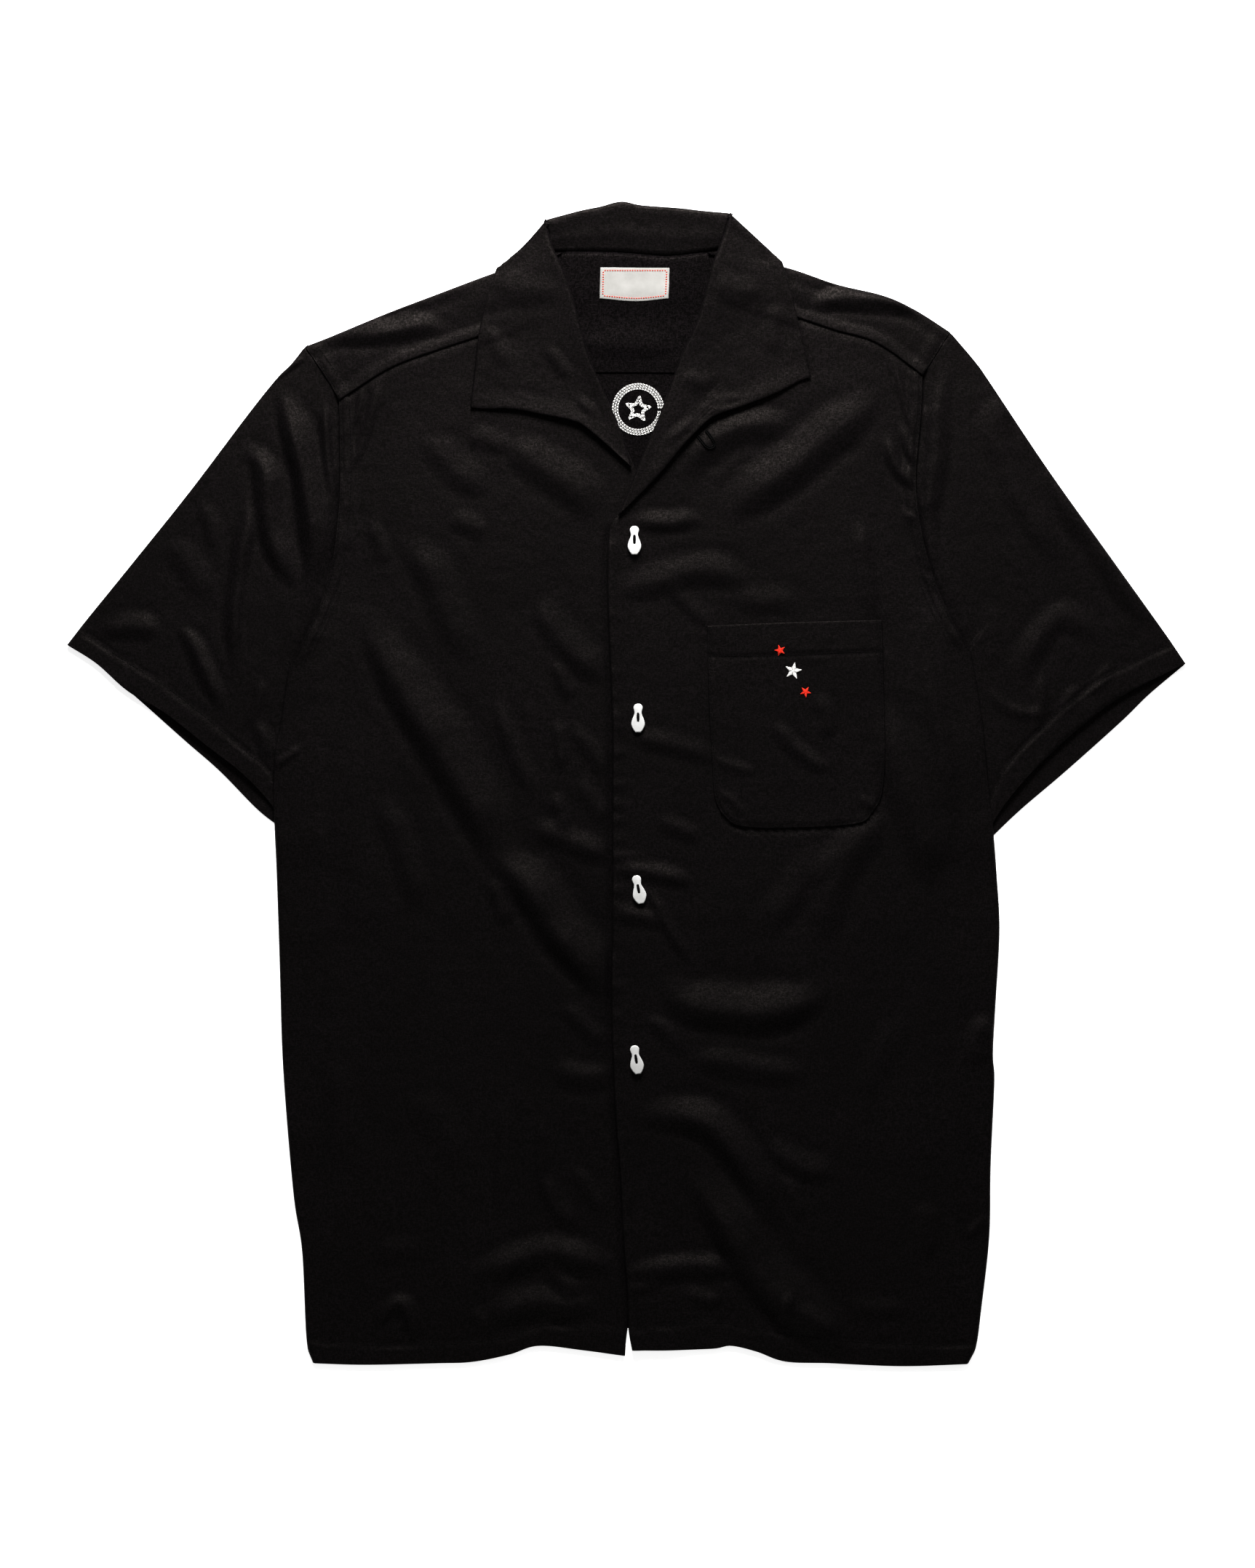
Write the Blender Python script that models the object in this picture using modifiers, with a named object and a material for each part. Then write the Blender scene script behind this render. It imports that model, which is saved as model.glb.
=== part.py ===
"""Short-sleeved bowling shirt, buttoned and laid flat on its back.

Pieces: back, folded yoke, two fronts, two sleeve tubes, one-piece collar, patch pocket, neck label,
neck loop and four buttons cut like bowling pins.

Run it with blender --background --python part.py, or from Blender's text editor.
Frame: +X to the wearer's left, +Y to the collar, +Z up. The origin lies on the surface that the shirt
rests on, under the middle of its outline. Tables are in millimetres and meshes in metres.
"""

import math
from collections import namedtuple

import bmesh
import bpy
import numpy as np
from mathutils import Matrix, Vector
from mathutils.bvhtree import BVHTree

MM = 0.001

# ---------------------------------------------------------------- driving sizes

WALL = 1.2  # cloth, with its turnings and interlining
GAP = 0.3  # between pieces that touch
SEAM = 0.4  # between cut edges that a seam joins, seen from above
LAYER = WALL + GAP
LOFT = 1.0  # how far the upper panels stand off the lower ones in the middle
LOFT_REACH = 45.0  # how far from the outline that loft is reached

UNDERARM_RISE = 1.9  # how far the fronts climb over the sleeves below the armhole
UNDERARM_SPAN = (-32.0, 98.0)  # stretch of the side seam that lies on the sleeve, along Y
UNDERARM_FADE = 34.0

OVERLAP_FULL = 24.0  # the wearer's left front lies on the right one up to this X
OVERLAP_GONE = 52.0

YOKE_RISE_FROM = 316.0  # the yoke climbs over the collar's fall between these two Y
YOKE_RISE_TO = 343.0

SLEEVE_LOFT = 1.3

# Points along the seams, the same on every piece that meets there.
ARMHOLE_ROWS = 10
UNDERARM_ROWS = 6
YOKE_END_ROWS = 5
SEAM_COLUMNS = 17
SLEEVE_COLUMNS = 9
FOLD_INSET = 1.3  # how far in from a folded edge the wall reaches its full height

ROLL_HEIGHT = 7.4  # middle of the collar's wall beside the neck
LAPEL_HEIGHT = 5.6  # the same where the lapels end
BACK_ROLL = 1.9  # radius of the roll along the back of the neck
ROLL_RADIUS = 1.7
LEAST_CURL = 2.3
CREASE_HEIGHT = 5.3  # middle of the wings' wall where they turn down round the crease
STAND_SEAM_Y = 366.0
STAND_DEPTH = 22.0
REST_MARGIN = 0.3  # spare height where a curved wall lies on another

BUTTON_THICK = 2.6
BUTTON_EDGE = 0.5
HOLE_RADIUS = 0.8
HOLE_SPACING = 4.6
HOLES_ABOVE_MIDDLE = 0.6

LABEL_THICK = 1.0
LOOP_RADIUS = 0.9

# ---------------------------------------------------------------- outlines
# "right" and "left" are the wearer's. Every line runs away from the neck, or down towards the hem.

OUTLINE = {
    "right": {
        "shoulder": ((-44.5, 366), (-86.5, 353), (-124.5, 339), (-162, 325), (-203, 308), (-221, 301)),
        "yoke_seam": ((-38.5, 329), (-70.5, 319), (-101, 308), (-137, 296), (-164.5, 285), (-197.5, 264)),
        "yoke_end": ((-221, 301), (-217, 295), (-205, 278), (-197.5, 264)),
        "armhole": ((-197.5, 264), (-197, 227), (-197, 200), (-201, 159), (-208.5, 129), (-222, 98), (-232.5, 79)),
        "side": ((-232.5, 79), (-237, 47), (-242, 13), (-242, -25), (-240.5, -61), (-238.5, -121), (-236, -196),
                 (-229, -281), (-223, -321), (-220, -381), (-215.5, -398)),
        "hem": ((-1, -393), (-30.5, -389), (-60.5, -386), (-80.5, -392), (-105.5, -397), (-130.5, -398),
                (-180.5, -399), (-215.5, -398)),
        "neck": ((-38.5, 329), (-32.5, 311), (-27, 291), (-20, 275), (-11.5, 256), (-2.5, 237), (7.5, 214)),
        "front_edge": ((7.5, 214), (22, 169), (23.5, 39), (23, -161), (17, -250), (8.5, -321), (0.5, -376), (-1, -393)),
        "sleeve_top": ((-221, 301), (-230.5, 289), (-240.5, 279), (-260.5, 254), (-300.5, 201), (-340.5, 151),
                       (-370.5, 114), (-384.5, 96)),
        "cuff_front": ((-384.5, 96), (-364, 83), (-342.5, 64), (-317, 49), (-289, 27), (-263.5, 7), (-244, -14),
                       (-237.5, -28)),
        "cuff_back": ((-384.5, 96), (-364, 83), (-335, 58), (-303.5, 30), (-279.5, 9), (-254, -17), (-237.5, -30)),
        "underarm": ((-228.5, 77), (-231.5, 39), (-235.5, 9), (-237.5, -29)),
        "back_tuck": ((-227.6, 76), (-230.5, 39), (-234.5, 9), (-236.4, -31)),
        "back_side": ((-236.4, -31), (-239.5, -61), (-237.5, -121), (-235, -196), (-228, -281), (-222, -321),
                      (-219, -378), (-215, -396)),
        "crease": ((-55, 388), (-71, 370), (-88.5, 355)),
        "wing_outer": ((-88.5, 355), (-95.5, 335), (-101.5, 307), (-104, 284.5), (-107, 259)),
        "wing_lower": ((3.5, 217.5), (-11, 231), (-25, 243), (-35, 249), (-57, 254), (-78, 258), (-95.5, 258),
                       (-107, 259)),
        "roll": ((-55, 388), (-51.5, 372), (-44.5, 356), (-37.5, 337), (-30.5, 311), (-25, 291.5), (-18, 276),
                 (-9.5, 256), (-2, 237), (3.5, 217.5)),
        "stand_side": ((-55, 388), (-55, 376), (-53, 365)),
    },
    "left": {
        "shoulder": ((56.5, 366), (107, 356), (144, 344), (177, 336), (199, 326), (222.5, 311)),
        "yoke_seam": ((57, 340), (89.5, 330), (120, 320), (144, 312), (166, 306), (182.5, 297), (203.5, 281)),
        "yoke_end": ((222.5, 311), (212, 294), (203.5, 281)),
        "armhole": ((203.5, 281), (202.5, 255), (199, 203), (207, 156), (221, 118), (237, 90)),
        "side": ((237, 90), (241, 67), (245.5, 35), (249.5, -9), (252.5, -35), (254.5, -61), (256.5, -101),
                 (253.5, -156), (252, -186), (253, -205), (250.5, -261), (249.5, -311), (244, -361), (240.5, -386),
                 (235, -398.5)),
        "hem": ((4, -389), (29.5, -389), (59.5, -388), (72, -386), (89.5, -390), (109.5, -397), (139.5, -398),
                (189.5, -400), (235, -398.5)),
        "neck": ((57, 340), (54, 330), (48.5, 313), (40, 295), (33, 276), (26, 256), (19, 239), (12, 223), (3.5, 200),
                 (-4, 186)),
        "front_edge": ((-4, 186), (-11, 178), (-13, 139), (-9.5, 44), (-9.5, -11), (-9.5, -87), (-10, -156),
                       (-8.5, -202), (-7, -231), (-4, -269), (-2, -311), (1, -351), (1.5, -374), (4, -389)),
        "sleeve_top": ((222.5, 311), (239.5, 291), (249.5, 277), (289.5, 217), (329.5, 161), (369.5, 105), (384.5, 83)),
        "cuff_front": ((384.5, 83), (359.5, 71), (339.5, 60), (318.5, 45), (293.5, 23), (274.5, 4), (258.5, -16),
                       (248.5, -33)),
        "cuff_back": ((384.5, 83), (359.5, 62), (340, 43), (302, 9), (271.5, -17), (252.5, -35), (248, -39)),
        "underarm": ((232.5, 89), (236.5, 59), (242.5, 9), (248, -37)),
        "back_tuck": ((231.4, 88), (235.6, 59), (241.4, 9), (246.6, -40)),
        "back_side": ((246.6, -40), (253, -61), (255.5, -101), (252.5, -156), (251, -186), (252, -205),
                      (249.5, -261), (248.5, -311), (243, -361), (239.5, -384), (234.5, -396.5)),
        "crease": ((71, 392.5), (90, 375), (106.5, 359)),
        "wing_outer": ((106.5, 359), (112.5, 339), (117.5, 319), (122, 300), (126.5, 280)),
        "wing_lower": ((-5.5, 184.5), (20.5, 211), (38, 232), (53.5, 248), (62.5, 254), (80, 260), (103, 269),
                       (118.5, 277), (126.5, 280)),
        "roll": ((71, 392.5), (66, 376), (58, 355), (52, 330), (46.5, 313), (38, 295), (31, 276), (24, 256),
                 (17, 239), (10, 223), (1, 200), (-5.5, 184.5)),
        "stand_side": ((71, 392.5), (68, 378), (65, 365)),
    },
}
COLLAR_TOP = ((-55, 388), (-32.5, 394), (-18, 397), (-3.5, 400.5), (10, 398), (36, 396), (53.5, 394), (71, 392.5))
FALL_EDGE = ((-88.5, 355), (-50.5, 350), (0, 351), (54.5, 352), (106.5, 359))
NECK_SEAM = ((-44.5, 366), (-18, 366), (3, 365), (27.5, 363), (56.5, 366))
STAND_EDGE = ((-53, 366.8), (-18, 366.8), (3, 365.8), (27.5, 364), (48, 366), (65, 368.5))
BACK_SEAM = ((-197.5, 264), (-120, 278), (-45, 283), (45, 283), (120, 282), (203.5, 281))
BACK_HEM = ((-215, -396), (-120, -384), (0, -374), (120, -383), (234.5, -396.5))
POCKET = {
    "top": ((55.5, 109), (115, 111.5), (175.5, 113)),
    "inner": ((55.5, 109), (56.5, 60), (58.5, 20), (60.5, -8), (65, -19.5)),
    "outer": ((175.5, 113), (177, 60), (177.5, 20), (175.5, -7), (170.5, -17.5)),
    "bottom": ((65, -19.5), (77, -28.5), (109.5, -30), (158.5, -27), (170.5, -17.5)),
}
LABEL = {
    "top": ((-18, 355.5), (30, 355.5)),
    "inner": ((-18, 355.5), (-18.5, 334)),
    "outer": ((30, 355.5), (29, 334)),
    "bottom": ((-18.5, 334), (6.5, 332), (29, 334)),
}
LOOP_ROUTE = ((48.5, 240), (54.6, 232.2), (58.6, 231.4), (60.4, 234.6), (54.5, 243.6))

# ---------------------------------------------------------------- folds
# One row a fold: its crest line, listed with the side nearer the collar on the left hand, how high it
# stands, and how far it slopes down above and below that line.

Fold = namedtuple("Fold", "height above below crest")

FRONT_FOLDS = (
    Fold(5.0, 26, 14, ((-182, 112), (-156, 66), (-133, 32), (-110, 2), (-92, -31), (-80, -61))),
    Fold(4.6, 22, 14, ((-96, -36), (-74, -64), (-56, -84), (-36, -108), (-18, -133), (-2, -158))),
    Fold(2.4, 26, 24, ((-176, 180), (-143, 144), (-120, 109), (-108, 80))),
    Fold(2.6, 16, 10, ((-59, 134), (-51, 112), (-47, 92), (-45, 69), (-38, 44))),
    Fold(2.6, 22, 18, ((-78, 240), (-50, 221), (-32, 194), (-28, 166))),
    Fold(3.2, 16, 14, ((-52, -197), (-30, -203), (-6, -206))),
    Fold(5.4, 16, 14, ((-112, -338), (-86, -333), (-66, -323), (-36, -319), (-2, -326))),
    Fold(3.6, 16, 12, ((-90, -366), (-60, -359), (-40, -358), (-18, -357))),
    Fold(3.4, 14, 16, ((44, 214), (62, 231), (82, 245), (116, 254))),
    Fold(5.2, 22, 17, ((58, 184), (100, 206), (124, 222), (144, 239), (176, 262))),
    Fold(2.8, 18, 16, ((18, 143), (37, 150), (60, 149), (84, 140))),
    Fold(2.6, 26, 20, ((178, 70), (194, 12), (206, -26), (220, -70))),
    Fold(2.2, 16, 14, ((178, -22), (150, -50), (139, -81), (136, -130))),
    Fold(6.0, 24, 18, ((20, -128), (38, -147), (70, -154), (100, -156), (124, -152), (142, -134))),
    Fold(4.8, 18, 14, ((8, -225), (42, -227), (64, -241), (80, -263), (94, -291), (103, -312))),
    Fold(6.2, 26, 15, ((34, -254), (57, -283), (72, -311), (90, -336), (107, -358), (130, -384))),
    Fold(4.4, 12, 12, ((-2, -330), (24, -331), (66, -328))),
)
SLEEVE_FOLDS = {
    "right": (
        Fold(3.6, 16, 14, ((-238, 258), (-222, 222), (-214, 179), (-214, 139), (-223, 108))),
        Fold(2.6, 14, 10, ((-254, 204), (-256, 167), (-263, 139), (-269, 95))),
        Fold(2.4, 16, 12, ((-254, 198), (-236, 159), (-225, 124))),
    ),
    "left": (
        Fold(2.2, 26, 22, ((236, 256), (254, 219), (264, 190), (292, 140))),
        Fold(2.4, 20, 22, ((332, 92), (306, 92), (284, 66), (276, 30))),
    ),
}

CLOTH = dict(color=(0.0075, 0.0070, 0.0068), roughness=0.85)
LABEL_CLOTH = dict(color=(0.80, 0.79, 0.76), roughness=0.7)
PLASTIC = dict(color=(0.83, 0.82, 0.78), roughness=0.3)

# One row a button: its middle, and how far its head leans towards -X in degrees.
Button = namedtuple("Button", "x y lean")
BUTTONS = (Button(5.5, 167.5, 0.0), Button(8.0, 45.5, 0.0), Button(8.3, -72.2, 11.0), Button(6.7, -189.0, 8.5))
# The pin's outline, from its base to the top of its head: height above the base, and half its width.
PIN = ((0.0, 1.85), (2.4, 3.6), (5.6, 4.75), (9.0, 4.1), (12.0, 2.9), (13.8, 2.6), (15.4, 2.95), (17.2, 3.25),
       (18.9, 2.5), (19.8, 1.1))


# ---------------------------------------------------------------- geometry helpers


def through(points, count):
    """`count` points, evenly spaced along the smooth curve through `points`."""
    known = np.array(points, float)
    known = np.vstack([2 * known[0] - known[1], known, 2 * known[-1] - known[-2]])
    t = np.linspace(0, 1, 16, endpoint=False)[:, None]
    runs = []
    for a, b, c, d in zip(known, known[1:], known[2:], known[3:]):
        runs.append(0.5 * (2 * b + (c - a) * t + (2 * a - 5 * b + 4 * c - d) * t**2 + (3 * b - a - 3 * c + d) * t**3))
    fine = np.vstack(runs + [known[-2:-1]])
    along = np.concatenate([[0], np.cumsum(np.linalg.norm(np.diff(fine, axis=0), axis=1))])
    wanted = np.linspace(0, along[-1], count)
    return np.stack([np.interp(wanted, along, fine[:, k]) for k in range(known.shape[1])], axis=1)


def joined(*runs):
    """Point runs end to end, each starting where the one before it stops."""
    return np.vstack([runs[0]] + [run[1:] for run in runs[1:]])


def aside(line, distance):
    """The line moved `distance` to its left hand side, as seen from above."""
    along = np.gradient(line, axis=0)
    along /= np.linalg.norm(along, axis=1)[:, None]
    return line + distance * np.stack([-along[:, 1], along[:, 0]], axis=1)


def filled(first, last, near, far):
    """Points between four edges: `first` and `last` run down the rows, `near` and `far` across them."""
    down = np.linspace(0, 1, len(first))[:, None, None]
    across = np.linspace(0, 1, len(near))[None, :, None]
    sides = (1 - across) * first[:, None] + across * last[:, None]
    ends = (1 - down) * near[None] + down * far[None]
    corners = (
        (1 - across) * (1 - down) * first[0]
        + across * (1 - down) * last[0]
        + (1 - across) * down * first[-1]
        + across * down * last[-1]
    )
    return sides + ends - corners


def eased(low, high, value):
    """0 at `low`, 1 at `high`, smooth between."""
    t = np.clip((value - low) / (high - low), 0, 1)
    return t * t * (3 - 2 * t)


def fold_height(plan, folds):
    """How high the folds stand over each plan point."""
    flat = plan.reshape(-1, 2)
    total = np.zeros(len(flat))
    for fold in folds:
        crest = through(fold.crest, 28)
        start, run = crest[:-1], np.diff(crest, axis=0)
        rel = flat[:, None] - start[None]
        share = np.clip((rel * run).sum(2) / (run * run).sum(1), 0, 1)
        away = rel - share[..., None] * run
        distance = np.linalg.norm(away, axis=2)
        pick = distance.argmin(1)
        rows = np.arange(len(flat))
        along = (pick + share[rows, pick]) / len(run)
        left = run[pick, 0] * away[rows, pick, 1] - run[pick, 1] * away[rows, pick, 0]
        ends = eased(0, 0.3, along) * eased(0, 0.3, 1 - along)
        reach = np.where(left > 0, fold.above, fold.below) * (0.6 + 0.4 * ends)
        across = np.clip(distance[rows, pick] / reach, 0, 1)
        total += fold.height * ends * (1 - across**2) ** 2
    return total.reshape(plan.shape[:-1])


def raised(plan, height):
    """Plan points with their heights."""
    return np.concatenate([plan, np.broadcast_to(height, plan.shape[:-1])[..., None]], axis=-1)


def normals(grid):
    """Unit normals of a grid of points, rows by columns."""
    down = np.gradient(grid, axis=0)
    across = np.gradient(grid, axis=1)
    normal = np.cross(across, down)
    return normal / np.maximum(np.linalg.norm(normal, axis=-1, keepdims=True), 1e-9)


def top_of(objects):
    """A function giving the highest point of the objects within `reach` of each plan point."""
    trees = []
    for obj in objects:
        points = [vert.co / MM for vert in obj.data.vertices]
        trees.append(BVHTree.FromPolygons(points, [tuple(face.vertices) for face in obj.data.polygons]))
    around = [(0.0, 0.0)] + [(math.cos(a), math.sin(a)) for a in np.linspace(0, 2 * math.pi, 8, endpoint=False)]

    def height(plan, reach):
        flat = plan.reshape(-1, 2)
        best = np.zeros(len(flat))
        for row, (x, y) in enumerate(flat):
            for dx, dy in around:
                for tree in trees:
                    hit = tree.ray_cast(Vector((x + reach * dx, y + reach * dy, 100.0)), Vector((0, 0, -1)))[0]
                    if hit is not None:
                        best[row] = max(best[row], hit.z)
        return best.reshape(plan.shape[:-1])

    return height


# ---------------------------------------------------------------- making objects


def clear_scene():
    for obj in list(bpy.data.objects):
        bpy.data.objects.remove(obj, do_unlink=True)


def collection(name, hidden=False):
    made = bpy.data.collections.new(name)
    bpy.context.scene.collection.children.link(made)
    made.hide_render = hidden
    return made


def material(name, color, roughness):
    made = bpy.data.materials.new(name)
    made.use_nodes = True
    shader = made.node_tree.nodes["Principled BSDF"]
    shader.inputs["Base Color"].default_value = (*color, 1)
    shader.inputs["Roughness"].default_value = roughness
    shader.inputs["Metallic"].default_value = 0
    made.diffuse_color = (*color, 1)
    return made


def placed(name, mesh, look, group):
    mesh.materials.append(material(name, **look))
    obj = bpy.data.objects.new(name, mesh)
    group.objects.link(obj)
    return obj


def sheet(name, face, under, look, group, ring_from=None, keep=None):
    """A closed wall between two grids of points. Its first and last columns are one from the row
    `ring_from` on, and `keep` says which squares the sheet has, by row and column."""
    rows, columns = face.shape[:2]
    body = bmesh.new()
    bmesh.ops.create_grid(body, x_segments=columns - 1, y_segments=rows - 1, size=0.5)
    spot = body.verts.layers.int.new("spot")
    at = {}
    for vert in body.verts:
        row = round((vert.co.y + 0.5) * (rows - 1))
        column = round((vert.co.x + 0.5) * (columns - 1))
        vert[spot] = row * columns + column
        at[row, column] = vert
    if keep:
        squares = [
            quad
            for quad in body.faces
            if not keep(min(v[spot] for v in quad.verts) // columns, min(v[spot] % columns for v in quad.verts))
        ]
        bmesh.ops.delete(body, geom=squares, context="FACES")
    if ring_from is not None:
        bmesh.ops.weld_verts(body, targetmap={at[row, columns - 1]: at[row, 0] for row in range(ring_from, rows)})
    grown = bmesh.ops.extrude_face_region(body, geom=body.faces[:])["geom"]
    outer = {part for part in grown if isinstance(part, bmesh.types.BMVert)}
    faces, unders = face.reshape(-1, 3), under.reshape(-1, 3)
    for vert in body.verts:
        vert.co = Vector((faces if vert in outer else unders)[vert[spot]]) * MM
    bmesh.ops.triangulate(body, faces=body.faces[:])
    bmesh.ops.recalc_face_normals(body, faces=body.faces[:])
    mesh = bpy.data.meshes.new(name)
    body.to_mesh(mesh)
    body.free()
    return placed(name, mesh, look, group)


def laid(name, plan, bottom, look, group, thick=WALL):
    """A panel lying with its lower face at `bottom`."""
    return sheet(name, raised(plan, bottom + thick), raised(plan, bottom), look, group)


# ---------------------------------------------------------------- panels


def edge_reach(plan):
    """How far each plan point lies inside the body's outline."""
    x, y = plan[..., 0], plan[..., 1]
    inside = np.full(x.shape, 1e9)
    for name, sign in (("right", -1), ("left", 1)):
        edge = joined(through(OUTLINE[name]["armhole"], 24), through(OUTLINE[name]["side"], 60))[::-1]
        inside = np.minimum(inside, sign * (np.interp(y, edge[:, 1], edge[:, 0]) - x))
        hem = through(OUTLINE[name]["hem"], 40)
        hem = hem[np.argsort(hem[:, 0])]
        below = y - np.interp(x, hem[:, 0], hem[:, 1])
        inside = np.minimum(inside, np.where(sign * x > 0, below, 1e9))
    return np.maximum(inside, 0)


def front_base(plan):
    """Lower face of the fronts before their folds: on the back, and over the sleeves beside the underarms."""
    x, y = plan[..., 0], plan[..., 1]
    over_sleeve = eased(188, 222, np.abs(x))
    over_sleeve = over_sleeve * eased(UNDERARM_SPAN[0] - UNDERARM_FADE, UNDERARM_SPAN[0], y)
    over_sleeve = over_sleeve * (1 - eased(UNDERARM_SPAN[1] + 4, UNDERARM_SPAN[1] + 4 + UNDERARM_FADE, y))
    return LAYER + LOFT * eased(0, LOFT_REACH, edge_reach(plan)) + UNDERARM_RISE * over_sleeve


def build_back(group):
    sides = [
        np.vstack([through(OUTLINE[side]["armhole"], ARMHOLE_ROWS)[:-1], through(OUTLINE[side]["back_tuck"], 5),
                   through(OUTLINE[side]["back_side"], 11)[1:]])
        for side in ("right", "left")
    ]
    plan = filled(sides[0], sides[1], through(BACK_SEAM, 11), through(BACK_HEM, 11))
    plan[0] -= (0, SEAM)
    return laid("back", plan, 0.0, CLOTH, group)


def sleeve_plan(side, upper):
    """Plan points of one layer of a sleeve. Rows run from the shoulder to the cuff, and columns from the
    armhole and the underarm fold to the folded top edge."""
    out = -1 if side == "right" else 1
    lines = OUTLINE[side]
    armhole = aside(through(lines["armhole"], ARMHOLE_ROWS), out * SEAM)[:-1]
    inner = np.vstack([armhole, through(lines["underarm"], UNDERARM_ROWS)])
    top = through(lines["sleeve_top"], len(inner))
    shoulder = aside(through(lines["yoke_end"][::-1], SLEEVE_COLUMNS), -out * SEAM)
    cuff = through(lines["cuff_front" if upper else "cuff_back"][::-1], SLEEVE_COLUMNS)
    shoulder[0], top[0] = inner[0], shoulder[-1]
    return filled(inner, top, shoulder, cuff)


def build_sleeve(side, group):
    """A flattened tube, open at the armhole and the cuff and folded along the underarm and the top edge."""
    upper = sleeve_plan(side, True)
    lower = sleeve_plan(side, False)
    rows = len(upper)
    first_fold_row = ARMHOLE_ROWS - 1
    share = np.linspace(0, 1, SLEEVE_COLUMNS)
    swell = np.sin(math.pi * share)[None, :] * np.sin(math.pi * np.linspace(0.15, 0.7, rows))[:, None]
    flat = 2 * WALL + GAP
    high = flat + SLEEVE_LOFT * swell + fold_height(upper, SLEEVE_FOLDS[side])
    middle = WALL + GAP / 2
    inward = upper[:, -1] - upper[:, 0]
    inward /= np.linalg.norm(inward, axis=1)[:, None]
    sewn = (np.arange(rows) < first_fold_row)[:, None]
    faces, unders = [], []

    def column(plan, face_z, under_z, face_in=0.0, under_in=0.0):
        faces.append(raised(plan + inward * face_in, face_z))
        unders.append(raised(plan + inward * under_in, under_z))

    def underarm_edge(sewn_face, sewn_under):
        column(upper[:, 0], middle, middle, 0.0, WALL)
        faces[-1] = np.where(sewn, raised(upper[:, 0], sewn_face), faces[-1])
        unders[-1] = np.where(sewn, raised(upper[:, 0], sewn_under), unders[-1])

    underarm_edge(flat, flat - WALL)
    column(upper[:, 0], flat, flat - WALL, FOLD_INSET, FOLD_INSET + 0.6)
    for k in range(1, SLEEVE_COLUMNS - 1):
        column(upper[:, k], high[:, k], high[:, k] - WALL)
    column(upper[:, -1], flat, flat - WALL, -FOLD_INSET, -FOLD_INSET - 0.6)
    column(upper[:, -1], middle, middle, 0.0, -WALL)
    column(upper[:, -1], 0.0, WALL, -FOLD_INSET, -FOLD_INSET - 0.6)
    for k in range(SLEEVE_COLUMNS - 2, 0, -1):
        column(lower[:, k], 0.0, WALL)
    column(upper[:, 0], 0.0, WALL, FOLD_INSET, FOLD_INSET + 0.6)
    underarm_edge(0.0, WALL)
    return sheet("sleeve_" + side, np.stack(faces, 1), np.stack(unders, 1), CLOTH, group, first_fold_row)


def yoke_climb(plan):
    """Lower face of the back yoke, which goes from the floor up onto the collar's fall."""
    beside_collar = 1 - eased(115, 150, np.abs(plan[..., 0]))
    return LAYER * eased(YOKE_RISE_FROM, YOKE_RISE_TO, plan[..., 1]) * beside_collar


def build_yoke(group):
    shoulder_columns, neck_columns = SEAM_COLUMNS, 9
    right, left = OUTLINE["right"], OUTLINE["left"]
    shoulders = [through(right["shoulder"][::-1], shoulder_columns), through(left["shoulder"], shoulder_columns)]
    seams = [through(right["yoke_seam"][::-1], shoulder_columns), through(left["yoke_seam"], shoulder_columns)]
    neck = through(NECK_SEAM, neck_columns)
    neck[0], neck[-1] = shoulders[0][-1], shoulders[1][0]
    top = joined(shoulders[0], neck, shoulders[1])
    bottom = through(BACK_SEAM, len(top))
    ends = [through(OUTLINE[side]["yoke_end"][::-1], YOKE_END_ROWS) for side in ("right", "left")]
    back = filled(ends[0], ends[1], bottom, top)
    climb = yoke_climb(back)
    last = YOKE_END_ROWS - 1
    faces = [raised(back[row], climb[row]) for row in range(last)]
    unders = [raised(back[row], climb[row] + WALL) for row in range(last)]
    inward = np.zeros_like(top)
    inward[:, 1] = -1
    for column, end in ((0, ends[0]), (-1, ends[1])):
        inward[column] = (end[-2] - end[-1]) / np.linalg.norm(end[-2] - end[-1])
    fold = climb[-1]
    neck_part = slice(shoulder_columns, shoulder_columns + neck_columns - 2)

    def row(plan, face_z, under_z, face_in=0.0, under_in=0.0):
        faces.append(raised(plan + inward * face_in, face_z))
        unders.append(raised(plan + inward * under_in, under_z))

    row(top, fold, fold + WALL, FOLD_INSET, FOLD_INSET + 0.6)
    row(top, fold + WALL + GAP / 2, fold + WALL + GAP / 2, 0.0, WALL)
    faces[-1][neck_part] = raised(top, fold)[neck_part]
    unders[-1][neck_part] = raised(top, fold + WALL)[neck_part]
    high = fold + 2 * WALL + GAP
    row(top, high, high - WALL, FOLD_INSET, FOLD_INSET + 0.6)
    for step in range(1, YOKE_END_ROWS):
        share = step / last
        strip = top.copy()
        strip[:shoulder_columns] += share * (seams[0] - shoulders[0])
        strip[-shoulder_columns:] += share * (seams[1] - shoulders[1])
        strip[0], strip[-1] = ends[0][last - step], ends[1][last - step]
        rest = np.maximum(high * (1 - 0.45 * share), yoke_climb(strip) + 2 * WALL + GAP + REST_MARGIN * share)
        row(strip, rest, rest - WALL)
    faces, unders = np.stack(faces), np.stack(unders)
    first_front = YOKE_END_ROWS

    def keep(row_number, column):
        return row_number < first_front or not shoulder_columns - 1 <= column < shoulder_columns + neck_columns - 2

    return sheet("yoke", faces, unders, CLOTH, group, keep=keep)


def front_plan(side, rows):
    lines = OUTLINE[side]
    inner = joined(through(lines["neck"], ARMHOLE_ROWS), through(lines["front_edge"], rows))
    outer = joined(through(lines["armhole"], ARMHOLE_ROWS), through(lines["side"], rows))
    top = through(lines["yoke_seam"], SEAM_COLUMNS)
    plan = filled(inner, outer, top, through(lines["hem"], SEAM_COLUMNS))
    plan[0] -= (0, SEAM)
    return plan


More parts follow.
